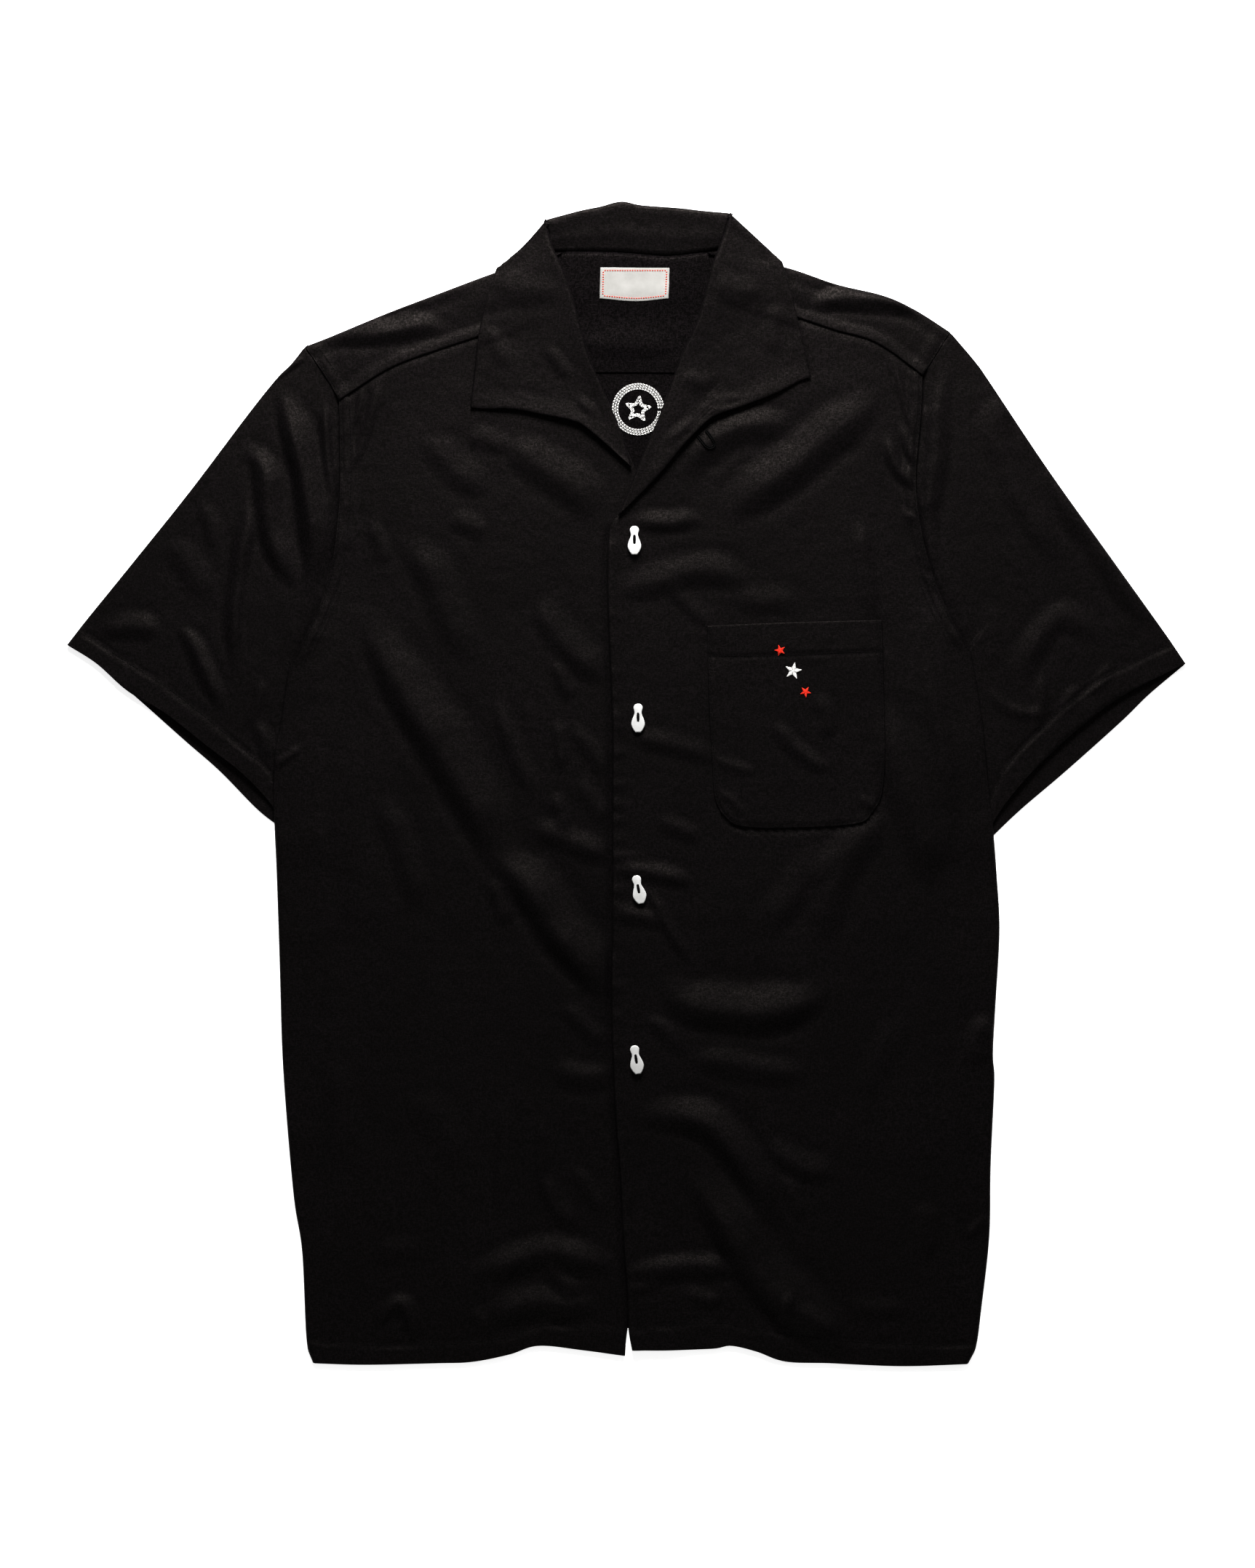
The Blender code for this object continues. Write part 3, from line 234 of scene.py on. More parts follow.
FRONT_CREASES = (
    Fold(1.6, 10, 8, ((-92, -60), (-86, -78), (-84, -100))),
    Fold(1.5, 14, 12, ((-172, -6), (-160, -26), (-150, -52), (-142, -92))),
    Fold(1.1, 40, 16, ((-186, 46), (-188, -21), (-186, -118))),
    Fold(1.9, 7, 6, ((-50, 84), (-44, 70), (-38, 54))),
    Fold(1.6, 7, 5, ((-49, 44), (-46, 24), (-43, 6))),
    Fold(2.2, 13, 9, ((-66, -30), (-46, -37), (-28, -44), (-8, -51))),
    Fold(1.5, 9, 8, ((-92, 64), (-84, 36), (-72, 10), (-58, -14))),
    Fold(1.5, 7, 7, ((-50, -6), (-44, -20), (-40, -34))),
    Fold(1.3, 8, 7, ((-40, 40), (-24, 22), (-10, 4))),
    Fold(1.2, 9, 8, ((-34, 4), (-22, -12), (-10, -28))),
    Fold(1.4, 16, 11, ((-140, 244), (-124, 222), (-110, 208), (-90, 201))),
    Fold(1.0, 12, 9, ((-112, 238), (-94, 234), (-80, 226))),
    Fold(1.3, 10, 9, ((-124, 184), (-108, 178), (-96, 170))),
    Fold(1.5, 5, 6, ((-169, 280), (-174, 258), (-181, 236), (-191, 212))),
    Fold(1.2, 4, 4, ((-182, 272), (-184, 258), (-188, 246))),
    Fold(1.3, 8, 8, ((-178, 180), (-170, 166), (-166, 148))),
    Fold(1.4, 9, 8, ((-46, -152), (-30, -166), (-10, -183))),
    Fold(1.2, 10, 6, ((-86, -212), (-87, -250), (-89, -300))),
    Fold(1.1, 6, 6, ((-57, -222), (-57, -262), (-56, -284))),
    Fold(2.0, 10, 8, ((-57, -268), (-48, -292), (-33, -310))),
    Fold(1.3, 8, 7, ((-38, -262), (-26, -280), (-14, -300))),
    Fold(1.8, 8, 8, ((-56, -330), (-46, -343), (-28, -349))),
    Fold(2.2, 8, 7, ((-174, -378), (-162, -360), (-152, -359), (-145, -372), (-141, -388))),
    Fold(1.3, 8, 6, ((-112, -362), (-102, -368), (-94, -380))),
    Fold(1.0, 12, 12, ((-176, -318), (-158, -322), (-142, -318))),
    Fold(1.4, 4, 4, ((-242, 10), (-232, 18), (-221, 27))),
    Fold(2.0, 10, 7, ((0, 182), (24, 180.5), (52, 184.5))),
    Fold(1.0, 9, 6, ((22, 144), (36, 130), (48, 118), (60, 108))),
    Fold(1.1, 13, 9, ((70, 127), (97, 125.5), (124, 121))),
    Fold(1.6, 8, 10, ((160, 182), (163, 150), (168, 112))),
    Fold(1.2, 9, 9, ((206, 92), (214, 42), (220, 2), (228, -44))),
    Fold(2.2, 7, 6, ((177, 242), (184, 222), (192, 210), (202, 201))),
    Fold(1.4, 5, 5, ((188, 250), (193, 232), (199, 216))),
    Fold(1.2, 4, 4, ((184, 292), (188, 272), (194, 250), (199, 232))),
    Fold(0.7, 4, 4, ((188, 188), (194, 183), (202, 181))),
    Fold(1.3, 7, 8, ((98, 46), (112, 28), (124, 17.5), (140, 7))),
    Fold(1.4, 10, 9, ((128, 62), (136, 48), (134, 30))),
    Fold(0.7, 6, 6, ((60, 18), (74, 12), (90, 6))),
    Fold(0.8, 4, 4, ((63, -6), (74, -13), (85, -25))),
    Fold(0.9, 4, 4, ((158, -8), (166, -13), (173, -18))),
    Fold(1.2, 10, 8, ((0, 31), (22, 29), (44, 24), (66, 15))),
    Fold(2.0, 9, 7, ((-12, -57), (8, -59), (26, -63), (52, -69))),
    Fold(1.9, 5, 6, ((16, -70), (25, -86), (33, -101), (46, -124))),
    Fold(1.7, 8, 7, ((-12, -90), (10, -91), (32, -97))),
    Fold(1.5, 16, 12, ((92, -108), (108, -86), (128, -60), (150, -38))),
    Fold(1.2, 8, 8, ((22, -24), (38, -31), (54, -38))),
    Fold(2.0, 12, 12, ((40, -188), (66, -191), (95, -196), (126, -200))),
    Fold(1.3, 8, 8, ((12, -160), (26, -168), (40, -188))),
    Fold(1.8, 13, 8, ((94, -244), (108, -257), (124, -265.5), (146, -267))),
    Fold(1.5, 9, 7, ((104, -266), (112, -282), (120, -300))),
    Fold(1.5, 6, 6, ((-2, -346), (12, -346), (26, -344))),
    Fold(1.6, 8, 7, ((36, -350), (52, -356), (68, -356))),
    Fold(1.4, 5, 5, ((115, -348), (108, -362), (101, -378))),
    Fold(1.4, 9, 7, ((112, -360), (128, -369), (146, -384))),
    Fold(1.2, 12, 12, ((204, -284), (206, -305), (208, -328))),
    Fold(1.3, 5, 5, ((233, -313), (242, -304), (250, -296))),
    Fold(1.8, 12, 10, ((252, -158), (240, -176), (238, -196))),
    Fold(1.0, 14, 12, ((-204, -180), (-196, -220), (-198, -270))),
    Fold(1.0, 16, 14, ((-150, -214), (-128, -236), (-120, -268))),
    Fold(0.9, 14, 12, ((196, -156), (176, -186), (166, -222))),
    Fold(0.8, 12, 12, ((-100, 300), (-84, 286), (-74, 268))),
    Fold(1.0, 10, 8, ((150, -356), (170, -362), (196, -360))),
)
# The edge of the upper front draws up between the buttons. One row a pucker: its place, how far it runs, its height.
Pucker = namedtuple("Pucker", "y run height")
EDGE_PUCKERS = (
    Pucker(61, 9, 0.6), Pucker(46, 13, 0.9), Pucker(39, 16, 0.8), Pucker(21, 15, 0.9), Pucker(10, 10, 0.6),
    Pucker(-0.5, 17, 0.9), Pucker(-14, 16, 1.0), Pucker(-25, 13, 0.9), Pucker(-38, 16, 0.8), Pucker(-50, 30, 1.3),
    Pucker(-73, 14, 0.9), Pucker(-84, 22, 1.0), Pucker(-108, 11, 0.6), Pucker(-121, 9, 0.5), Pucker(-139, 14, 0.8),
    Pucker(-160, 12, 0.7), Pucker(-187, 12, 0.8), Pucker(-216, 10, 0.6), Pucker(-243, 12, 0.6), Pucker(-262, 9, 0.5),
    Pucker(-286, 10, 0.5), Pucker(-306, 9, 0.6), Pucker(77, 12, 0.5), Pucker(96, 10, 0.5), Pucker(116, 12, 0.6),
)
SLEEVE_FOLDS = {
    "right": (
        Fold(4.6, 17, 9, ((-240, 276), (-236, 256), (-229, 234), (-222, 210), (-217, 182), (-215, 154), (-220, 128))),
        Fold(2.8, 7, 9, ((-259, 204), (-257, 182), (-262, 158), (-267, 132), (-270, 104), (-271, 70))),
        Fold(3.6, 13, 9, ((-268, 224), (-256, 225), (-249, 212), (-246, 190), (-241, 168), (-233, 149), (-223, 134))),
    ),
    "left": (
        Fold(1.8, 9, 10, ((219, 120), (211, 152), (208, 182), (210, 212), (214, 240), (218, 264), (225, 292))),
        Fold(2.4, 14, 11, ((286, 224), (306, 187), (326, 161), (346, 129), (366, 106))),
        Fold(1.5, 13, 11, ((272, 66), (280, 94), (296, 114), (314, 110), (330, 94))),
    ),
}
SLEEVE_CREASES = {
    "right": (
        Fold(1.8, 5, 6, ((-209, 266), (-206, 232), (-202, 204), (-201, 180))),
        Fold(1.4, 5, 4, ((-248, 276), (-234, 287), (-221, 294))),
        Fold(2.0, 8, 7, ((-310, 112), (-300, 96), (-293, 78), (-278, 48))),
        Fold(1.8, 11, 9, ((-362, 104), (-342, 107), (-318, 104))),
        Fold(1.2, 5, 5, ((-250, 74), (-254, 56), (-262, 38))),
        Fold(1.2, 8, 8, ((-254, 44), (-247, 32), (-243, 16))),
        Fold(1.1, 14, 12, ((-318, 168), (-300, 150), (-290, 124))),
        Fold(1.0, 9, 7, ((-292, 196), (-284, 180), (-280, 160))),
    ),
    "left": (
        Fold(1.4, 12, 10, ((252, 236), (262, 206), (284, 172), (296, 148))),
        Fold(1.1, 6, 5, ((247, 66), (258, 53), (272, 48.5), (290, 50))),
        Fold(1.2, 5, 6, ((288, 80), (284, 58), (279, 32))),
        Fold(0.6, 10, 10, ((244, 130), (252, 104), (250, 74))),
        Fold(0.9, 6, 5, ((334, 86), (328, 74), (318, 62))),
        Fold(0.9, 6, 5, ((312, 70), (304, 60), (298, 48))),
        Fold(1.1, 12, 12, ((262, 268), (252, 244), (256, 214))),
    ),
}
# The shoulders' fold is pressed: a ridge along each, with a hollow below it.
YOKE_FOLDS = {
    "right": (Fold(2.6, 12, 9, ((-208, 303), (-184, 309), (-160, 311), (-140, 315), (-122, 312))),),
    "left": (Fold(3.0, 10, 9, ((124, 326), (142, 333.5), (162, 333), (182, 331), (208, 325))),),
}
WING_FOLDS = {
    "right": (
        Fold(0.7, 14, 12, ((-94, 344), (-76, 340), (-58, 338), (-40, 340))),
        Fold(0.8, 7, 6, ((-54, 302), (-47, 290), (-38, 276))),
        Fold(0.7, 6, 5, ((-34, 266), (-26, 258), (-18, 252))),
        Fold(0.8, 8, 8, ((-98, 316), (-88, 300), (-84, 284))),
    ),
    "left": (
        Fold(0.9, 12, 11, ((50, 344), (64, 342), (78, 338), (96, 340))),
        Fold(1.1, 5, 4, ((50, 262), (60, 258), (72, 256))),
        Fold(0.9, 4, 4, ((54, 270), (62, 266), (74, 263))),
        Fold(0.9, 8, 8, ((36, 282), (48, 276), (62, 274))),
        Fold(0.8, 6, 5, ((24, 236), (34, 240), (46, 250))),
        Fold(0.9, 10, 8, ((106, 334), (100, 312), (102, 292))),
    ),
}
NECK_FOLD = Fold(0.9, 14, 12, ((-34, 303), (0, 302), (38, 303)))
UNDERSIDE_FOLDS = (
    Fold(1.6, 22, 16, ((-150, 190), (-120, 130), (-90, 70), (-80, 10))),
    Fold(1.4, 18, 14, ((120, 210), (90, 150), (96, 80))),
    Fold(1.8, 24, 18, ((40, 20), (70, -40), (60, -110), (84, -170))),
    Fold(1.3, 16, 14, ((-60, -60), (-30, -110), (-44, -180))),
    Fold(1.6, 20, 16, ((-170, -90), (-140, -150), (-150, -230), (-120, -300))),
    Fold(1.4, 18, 14, ((170, -80), (190, -150), (176, -220))),
    Fold(1.7, 20, 15, ((-20, -220), (10, -280), (-6, -340))),
    Fold(1.2, 14, 12, ((110, -240), (130, -300), (120, -350))),
)
SLEEVE_UNDERSIDE_FOLDS = {
    "right": (Fold(1.4, 14, 12, ((-240, 220), (-262, 160), (-280, 100))),
              Fold(1.1, 12, 10, ((-300, 150), (-310, 110), (-296, 70)))),
    "left": (Fold(1.4, 14, 12, ((250, 210), (276, 160), (290, 100))),
             Fold(1.1, 12, 10, ((310, 140), (322, 110), (310, 76)))),
}


Button = namedtuple("Button", "x y lean")
BUTTONS = (Button(5.5, 167.5, 0.0), Button(8.0, 45.5, 0.0), Button(8.3, -72.2, 11.0), Button(6.7, -189.0, 8.5))
BUTTON_THICK = 2.6
RIM = 0.75  # how far a button's rim is rounded
HOLE_RADIUS = 0.8
HOLE_SPACING = 4.6
HOLES_ABOVE_MIDDLE = 0.6
# Half the outline of a button, from its foot up: height and half width.
PIN = ((0.0, 1.85), (2.4, 3.6), (5.6, 4.75), (9.0, 4.1), (12.0, 2.9), (13.8, 2.6), (15.4, 2.95), (17.2, 3.25),
       (18.9, 2.5), (19.8, 1.1))

Star = namedtuple("Star", "x y size lean")
WHITE_STAR = Star(114.5, 78.0, 6.4, 0.2)
RED_STARS = (Star(105.5, 92.0, 4.2, -0.3), Star(123.0, 63.5, 4.2, 0.55))
BACK_STARS = (Star(8, 258, 9.5, 0.12), Star(8, 258, 6.5, 0.12), Star(-12, 219, 8, 0.5))
BACK_RINGS = (14.2, 15.8, 17.4)  # round the first star

# Half the thickness of each thread.
TOPSTITCH = 0.2
SATIN_STITCH = 0.27
CHAIN_STITCH = 0.32
LABEL_STITCH = 0.4
LOOP_STRAND = 0.5
BUTTON_THREAD = 0.52


# ---------------------------------------------------------------- lines and plans


def along(points, shares):
    """Points at the given shares of the length of the smooth curve through `points`."""
    known = np.array(points, float)
    known = np.vstack([2 * known[0] - known[1], known, 2 * known[-1] - known[-2]])
    t = np.linspace(0, 1, 16, endpoint=False)[:, None]
    runs = []
    for a, b, c, d in zip(known, known[1:], known[2:], known[3:]):
        runs.append(0.5 * (2 * b + (c - a) * t + (2 * a - 5 * b + 4 * c - d) * t**2 + (3 * b - a - 3 * c + d) * t**3))
    fine = np.vstack(runs + [known[-2:-1]])
    run = run_along(fine)
    return np.stack([np.interp(shares * run[-1], run, fine[:, k]) for k in range(known.shape[1])], axis=1)


def run_along(points):
    """How far along the line each of its points is."""
    return np.concatenate([[0], np.cumsum(np.linalg.norm(np.diff(points, axis=0), axis=1))])


def through(points, count):
    return along(points, np.linspace(0, 1, count))


def length_of(points):
    return np.linalg.norm(np.diff(through(points, 80), axis=0), axis=1).sum()


def spaced(length, step, start=(), end=()):
    """Shares from 0 to 1, about `step` apart on that length, with extra ones at `start` and `end` from its ends."""
    first = max(start, default=0) / length
    last = 1 - max(end, default=0) / length
    even = np.linspace(first, last, max(2, round((last - first) * length / step) + 1))
    extra = [0.0, 1.0] + [d / length for d in start] + [1 - d / length for d in end]
    return np.unique(np.round(np.concatenate([even, extra]), 6))


def joined(*runs):
    return np.vstack([runs[0]] + [run[1:] for run in runs[1:]])


def aside(line, distance):
    """The line moved `distance` to its left hand side, as seen from above."""
    run = np.gradient(line, axis=0)
    run /= np.linalg.norm(run, axis=1)[:, None]
    return line + distance * np.stack([-run[:, 1], run[:, 0]], axis=1)


def filled(first, last, near, far, down, across):
    """Points between four edges: `first` and `last` run down the rows, `near` and `far` across them."""
    down = down[:, None, None]
    across = across[None, :, None]
    sides = (1 - across) * first[:, None] + across * last[:, None]
    ends = (1 - down) * near[None] + down * far[None]
    corners = (
        (1 - across) * (1 - down) * first[0]
        + across * (1 - down) * last[0]
        + (1 - across) * down * first[-1]
        + across * down * last[-1]
    )
    return sides + ends - corners


def eased(low, high, value):
    t = np.clip((value - low) / (high - low), 0, 1)
    return t * t * (3 - 2 * t)


def bump(width, value):
    """1 where the value is 0, and 0 from `width` on, smooth between."""
    return np.clip(1 - (value / width) ** 2, 0, 1) ** 2


def curl(radius, distance):
    """0 at a rounded edge, 1 from `radius` in."""
    return np.sqrt(1 - (1 - np.clip(distance / radius, 0, 1)) ** 2)


def beside(plan, line):
    """For each plan point: how far along the line its nearest point lies, as a share and in millimetres, and how
    far away it is, with a minus on the line's right hand side."""
    flat = plan.reshape(-1, 2)
    start, run = line[:-1], np.diff(line, axis=0)
    squared = (run * run).sum(1)
    lengths = np.concatenate([[0], np.cumsum(np.sqrt(squared))])
    best = np.full(len(flat), np.inf)
    place = np.zeros(len(flat))
    side = np.ones(len(flat))
    for k in range(len(run)):
        rel = flat - start[k]
        share = np.clip((rel @ run[k]) / squared[k], 0, 1)
        away = rel - share[:, None] * run[k]
        distance = (away * away).sum(1)
        closer = distance < best
        best[closer] = distance[closer]
        place[closer] = lengths[k] + share[closer] * (lengths[k + 1] - lengths[k])
        side[closer] = np.sign(run[k, 0] * rel[closer, 1] - run[k, 1] * rel[closer, 0])
    shape = plan.shape[:-1]
    away = (np.sqrt(best) * np.where(side == 0, 1, side)).reshape(shape)
    return (place / lengths[-1]).reshape(shape), place.reshape(shape), away


def off(plan, *lines):
    """How far each plan point is from the nearest of the lines."""
    return np.minimum.reduce([np.abs(beside(plan, line)[2]) for line in lines])


def ripple(plan, size, seed):
    """Smooth unevenness between about -1 and 1 whose bumps are `size` millimetres wide."""
    count, margin = 64, 700
    lattice = np.random.default_rng(seed).uniform(-1, 1, (count, count))
    x, y = (plan[..., 0] + margin) / size, (plan[..., 1] + margin) / size
    i, j = np.floor(x).astype(int), np.floor(y).astype(int)
    u, v = x - i, y - j
    u, v = u * u * (3 - 2 * u), v * v * (3 - 2 * v)
    i, j, k, m = i % count, j % count, (i + 1) % count, (j + 1) % count
    low = lattice[i, j] * (1 - u) + lattice[k, j] * u
    high = lattice[i, m] * (1 - u) + lattice[k, m] * u
    return low * (1 - v) + high * v


def wavering(place, size, seed):
    """The same along a line."""
    return ripple(np.stack([place, np.zeros_like(place)], axis=-1), size, seed)


def bent(plan):
    """The plan, pushed about a little so that folds run less evenly."""
    return plan + 2.6 * np.stack([ripple(plan, 46, 3), ripple(plan, 46, 4)], axis=-1)


def rumpled(plan):
    """The soft unevenness of cloth that has been washed and laid out."""
    turned = plan @ np.array([[0.84, -0.54], [0.54, 0.84]])
    slow = 0.42 * ripple(plan, 52, 11) + 0.26 * ripple(turned, 27, 12)
    quick = 0.10 * ripple(plan, 13, 13) + 0.05 * ripple(turned, 7, 14)
    return slow + quick


def fold_height(plan, folds):
    """How high the folds stand over each plan point."""
    flat = plan.reshape(-1, 2)
    total = np.zeros(len(flat))
    for number, fold in enumerate(folds):
        crest = through(fold.crest, 22)
        reach = 1.5 * max(fold.above, fold.below)
        inside = (flat > crest.min(0) - reach) & (flat < crest.max(0) + reach)
        near = inside.all(1).nonzero()[0]
        share, place, left = beside(flat[near], crest)
        ends = eased(0, 0.3, share) * eased(0, 0.3, 1 - share)
        width = np.where(left > 0, fold.above, fold.below) * (0.6 + 0.4 * ends)
        t = np.abs(left) / width
        hollow = np.exp(-(((t - 1.1) / 0.26) ** 2))
        ridge = 0.92 * bump(1, t) + 0.1 * np.exp(-((t / 0.24) ** 2)) - 0.14 * hollow
        uneven = 1 + 0.16 * wavering(place, 17, 40 + number)
        total[near] += FOLD_SCALE * fold.height * ends * ridge * uneven
    return total.reshape(plan.shape[:-1])


def gathered(plan, line, size, run, seed):
    """Small puckers square to a seam, which die away `run` from it. Between 0 and 1."""
    _, place, away = beside(plan, line)
    waves = wavering(place + 0.35 * np.abs(away), size, seed) + 0.5 * wavering(place, size * 0.55, seed + 1)
    reach = run * (1 + 0.5 * wavering(place, 2.5 * size, seed + 2))
    return np.clip(waves, 0, 1) * bump(1, np.abs(away) / reach)


def raised(plan, height):
    return np.concatenate([plan, np.broadcast_to(height, plan.shape[:-1])[..., None]], axis=-1)


class Ground:
    """The highest cloth laid so far, on a square raster of the floor."""

    STEP = 2.0
    ACROSS = 410
    DOWN = 416

    def __init__(self):
        self.high = np.zeros((self.DOWN + 1, self.ACROSS + 1))

    def lay(self, points):
        """Adds a grid of points. Their heights are its upper face."""
        for axis in (0, 1):
            points = np.moveaxis(points, axis, 0)
            middle = (points[:-1] + points[1:]) / 2
            both = np.empty((len(points) + len(middle), *points.shape[1:]))
            both[::2], both[1::2] = points, middle
            points = np.moveaxis(both, 0, axis)
        column = np.rint((points[..., 0] + self.ACROSS) / self.STEP).astype(int)
        row = np.rint((points[..., 1] + self.DOWN) / self.STEP).astype(int)
        np.maximum.at(self.high, (row, column), points[..., 2])

    def under(self, plan, reach=4.0):
        """The height that cloth laid here rests on: the highest within `reach`, smoothed."""
        high = self.high.copy()
        for axis in (0, 1):
            for _ in range(round(reach / self.STEP)):
                high = np.maximum.reduce([high, np.roll(high, 1, axis), np.roll(high, -1, axis)])
        for axis in (0, 1):
            high = (np.roll(high, 1, axis) + 2 * high + np.roll(high, -1, axis)) / 4
        x = (plan[..., 0] + self.ACROSS) / self.STEP
        y = (plan[..., 1] + self.DOWN) / self.STEP
        i, j = np.floor(x).astype(int), np.floor(y).astype(int)
        u, v = x - i, y - j
        low = high[j, i] * (1 - u) + high[j, i + 1] * u
        top = high[j + 1, i] * (1 - u) + high[j + 1, i + 1] * u
        return low * (1 - v) + top * v


# ---------------------------------------------------------------- materials

WHITE = (1, 1, 1, 1)
YARN = 0.00052  # between the yarns of the black cloth
LABEL_YARN = 0.0004
BLACK = (0.0085, 0.0066, 0.0077, 1)
WARM_GLOSS = (1.0, 0.92, 0.83, 1)


class Finish:
    """A material while its nodes are made. An input is a number, a colour or another node's output."""

    def __init__(self, name):
        self.made = bpy.data.materials.new(name)
        self.made.use_nodes = True
        self.nodes = self.made.node_tree.nodes
        self.place = self.add("TexCoord", "Object", {})

    def feed(self, node, inputs):
        for name, value in inputs.items():
            if isinstance(value, bpy.types.NodeSocket):
                self.made.node_tree.links.new(value, node.inputs[name])
            else:
                node.inputs[name].default_value = value

    def add(self, kind, output, inputs, **settings):
        """The named output of a new node."""
        node = self.nodes.new("ShaderNode" + kind)
        for name, value in settings.items():
            setattr(node, name, value)
        self.feed(node, inputs)
        return node.outputs[output]

    def noise(self, scale, detail=3.0, stretch=(1, 1, 1), turn=0.0):
        place = self.add("Mapping", "Vector", {"Scale": stretch, "Rotation": (0, 0, turn), "Vector": self.place})
        return self.add("TexNoise", "Fac", {"Scale": scale, "Detail": detail, "Vector": place})

    def yarns(self, pitch, axis, turn=0.0):
        """Evenly spaced yarns of a weave."""
        place = self.add("Mapping", "Vector", {"Rotation": (0, 0, turn), "Vector": self.place})
        look = {"Scale": 2 * math.pi / (20 * pitch), "Distortion": 0.6, "Detail": 1.0, "Vector": place}
        return self.add("TexWave", "Fac", look, bands_direction=axis)

    def ramp(self, value, low, high, dark, light):
        limits = {"From Min": low, "From Max": high, "To Min": dark, "To Max": light}
        return self.add("MapRange", "Result", {"Value": value, **limits})

    def combine(self, operation, a, b):
        return self.add("Math", "Value", {0: a, 1: b}, operation=operation)

    def mixed(self, a, b, share=1.0, blend="MIX"):
        return self.add("Mix", "Result", {"Factor": share, "A": a, "B": b}, data_type="RGBA", blend_type=blend)

    def relief(self, height, strength, distance, over=None):
        """A bump, on top of another one where `over` is given."""
        below = {} if over is None else {"Normal": over}
        return self.add("Bump", "Normal", {"Strength": strength, "Distance": distance, "Height": height, **below})

    def worn(self, color, roughness, normal=None, **sheen_and_gloss):
        """The material with these on its shader."""
        looks = {"Base Color": color, "Roughness": roughness}
        if normal is not None:
            looks["Normal"] = normal
        looks.update((name.replace("_", " "), value) for name, value in sheen_and_gloss.items())
        self.feed(self.nodes["Principled BSDF"], looks)
        return self.made


def black_weave(name, grain=0.0, shine=1.0):
    """Washed black plain weave with slubs. `grain` turns the weave to the piece's own cut."""
    made = Finish(name)
    weave = made.combine("MAXIMUM", made.yarns(YARN, "X", grain), made.yarns(YARN, "Y", grain))
    slub_across = made.noise(1150, 3.0, (0.42, 1.0, 1.0), grain)
    slub_along = made.noise(1150, 3.0, (1.0, 0.36, 1.0), grain)
    slubs = made.combine("MAXIMUM", slub_across, slub_along)
    rumple, patches = made.noise(95, 4.0), made.noise(11)
    tone = made.combine("MULTIPLY", made.ramp(slubs, 0.47, 0.68, 0.3, 2.3), made.ramp(patches, 0.3, 0.7, 0.85, 1.2))
    grey = made.add("CombineColor", "Color", dict.fromkeys(("Red", "Green", "Blue"), tone))
    normal = made.relief(weave, 0.35, 0.00012)
    normal = made.relief(slubs, 0.6, 0.00025, normal)
    normal = made.relief(rumple, 0.5, 0.0012, normal)
    return made.worn(made.mixed(BLACK, grey, blend="MULTIPLY"), made.ramp(slubs, 0.45, 0.70, 0.66, 0.44), normal,
                     Specular_IOR_Level=0.24 * shine, Specular_Tint=WARM_GLOSS,
                     Sheen_Weight=0.016 * shine, Sheen_Roughness=0.45)


def yarn(name, color, roughness=0.55, sheen=0.05, spread=0.25):
    """Sewing or embroidery thread, with fibres and slight shade from strand to strand."""
    made = Finish(name)
    fibre, shade = made.noise(2600, 2.0), made.noise(420, 1.0)
    dark = (*(c * (1 - spread) for c in color), 1)
    light = (*(min(1, c * (1 + spread * 0.5)) for c in color), 1)
    return made.worn(made.mixed(dark, light, made.ramp(shade, 0.35, 0.65, 0, 1)),
                     made.ramp(fibre, 0.3, 0.7, roughness - 0.1, roughness + 0.12), made.relief(fibre, 0.4, 0.0001),
                     Sheen_Weight=sheen, Specular_IOR_Level=0.3 if max(color) > 0.1 else 0.12)


def moulded_white(name):
    """Cast white plastic: faintly mottled, with fine marks and a softly polished face."""
    made = Finish(name)
    mottle = made.ramp(made.noise(240), 0.3, 0.7, 0, 1)
    marks = made.noise(1900, 2.0, (1.0, 0.2, 1.0))
    return made.worn(made.mixed((0.77, 0.765, 0.75, 1), (0.85, 0.85, 0.845, 1), mottle),
                     made.ramp(marks, 0.3, 0.7, 0.26, 0.42), made.relief(marks, 0.12, 0.0002))


def woven_white(name):
    """Label cloth: a close satin weave with fine ribs."""
    made = Finish(name)
    ribs, ends = made.yarns(LABEL_YARN, "Y"), made.yarns(LABEL_YARN, "X")
    shade = made.combine("MULTIPLY", made.ramp(made.noise(120), 0.3, 0.7, 0.5, 1.0), made.ramp(ribs, 0, 1, 0.6, 1.0))
    return made.worn(made.mixed((0.355, 0.348, 0.332, 1), (0.47, 0.462, 0.446, 1), shade),
                     made.ramp(ends, 0, 1, 0.55, 0.75), made.relief(ribs, 0.3, 0.0001), Sheen_Weight=0.15)


def plain_floor(name):
    made = Finish(name)
    return made.worn(made.mixed((0.90, 0.90, 0.90, 1), (0.93, 0.93, 0.93, 1), made.noise(3.0, 2.0)), 0.95,
                     Specular_IOR_Level=0.0, Emission_Color=WHITE, Emission_Strength=0.75)


# ---------------------------------------------------------------- making pieces


def placed(name, data):
    obj = bpy.data.objects.new(name, data)
    bpy.context.scene.collection.objects.link(obj)
    return obj


def mesh_of(name, body):
    """A mesh from a bmesh, which is used up."""
    mesh = bpy.data.meshes.new(name)
    body.to_mesh(mesh)
    body.free()
    return mesh


def shown(name, mesh, look):
    mesh.materials.append(look)
    mesh.polygons.foreach_set("use_smooth", np.ones(len(mesh.polygons), bool))
    return placed(name, mesh)


def hang(obj, slot, *nodes):
    """Puts a finished piece on the shirt."""
    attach(obj, "root")
    if nodes:
        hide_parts(*nodes)
    return obj


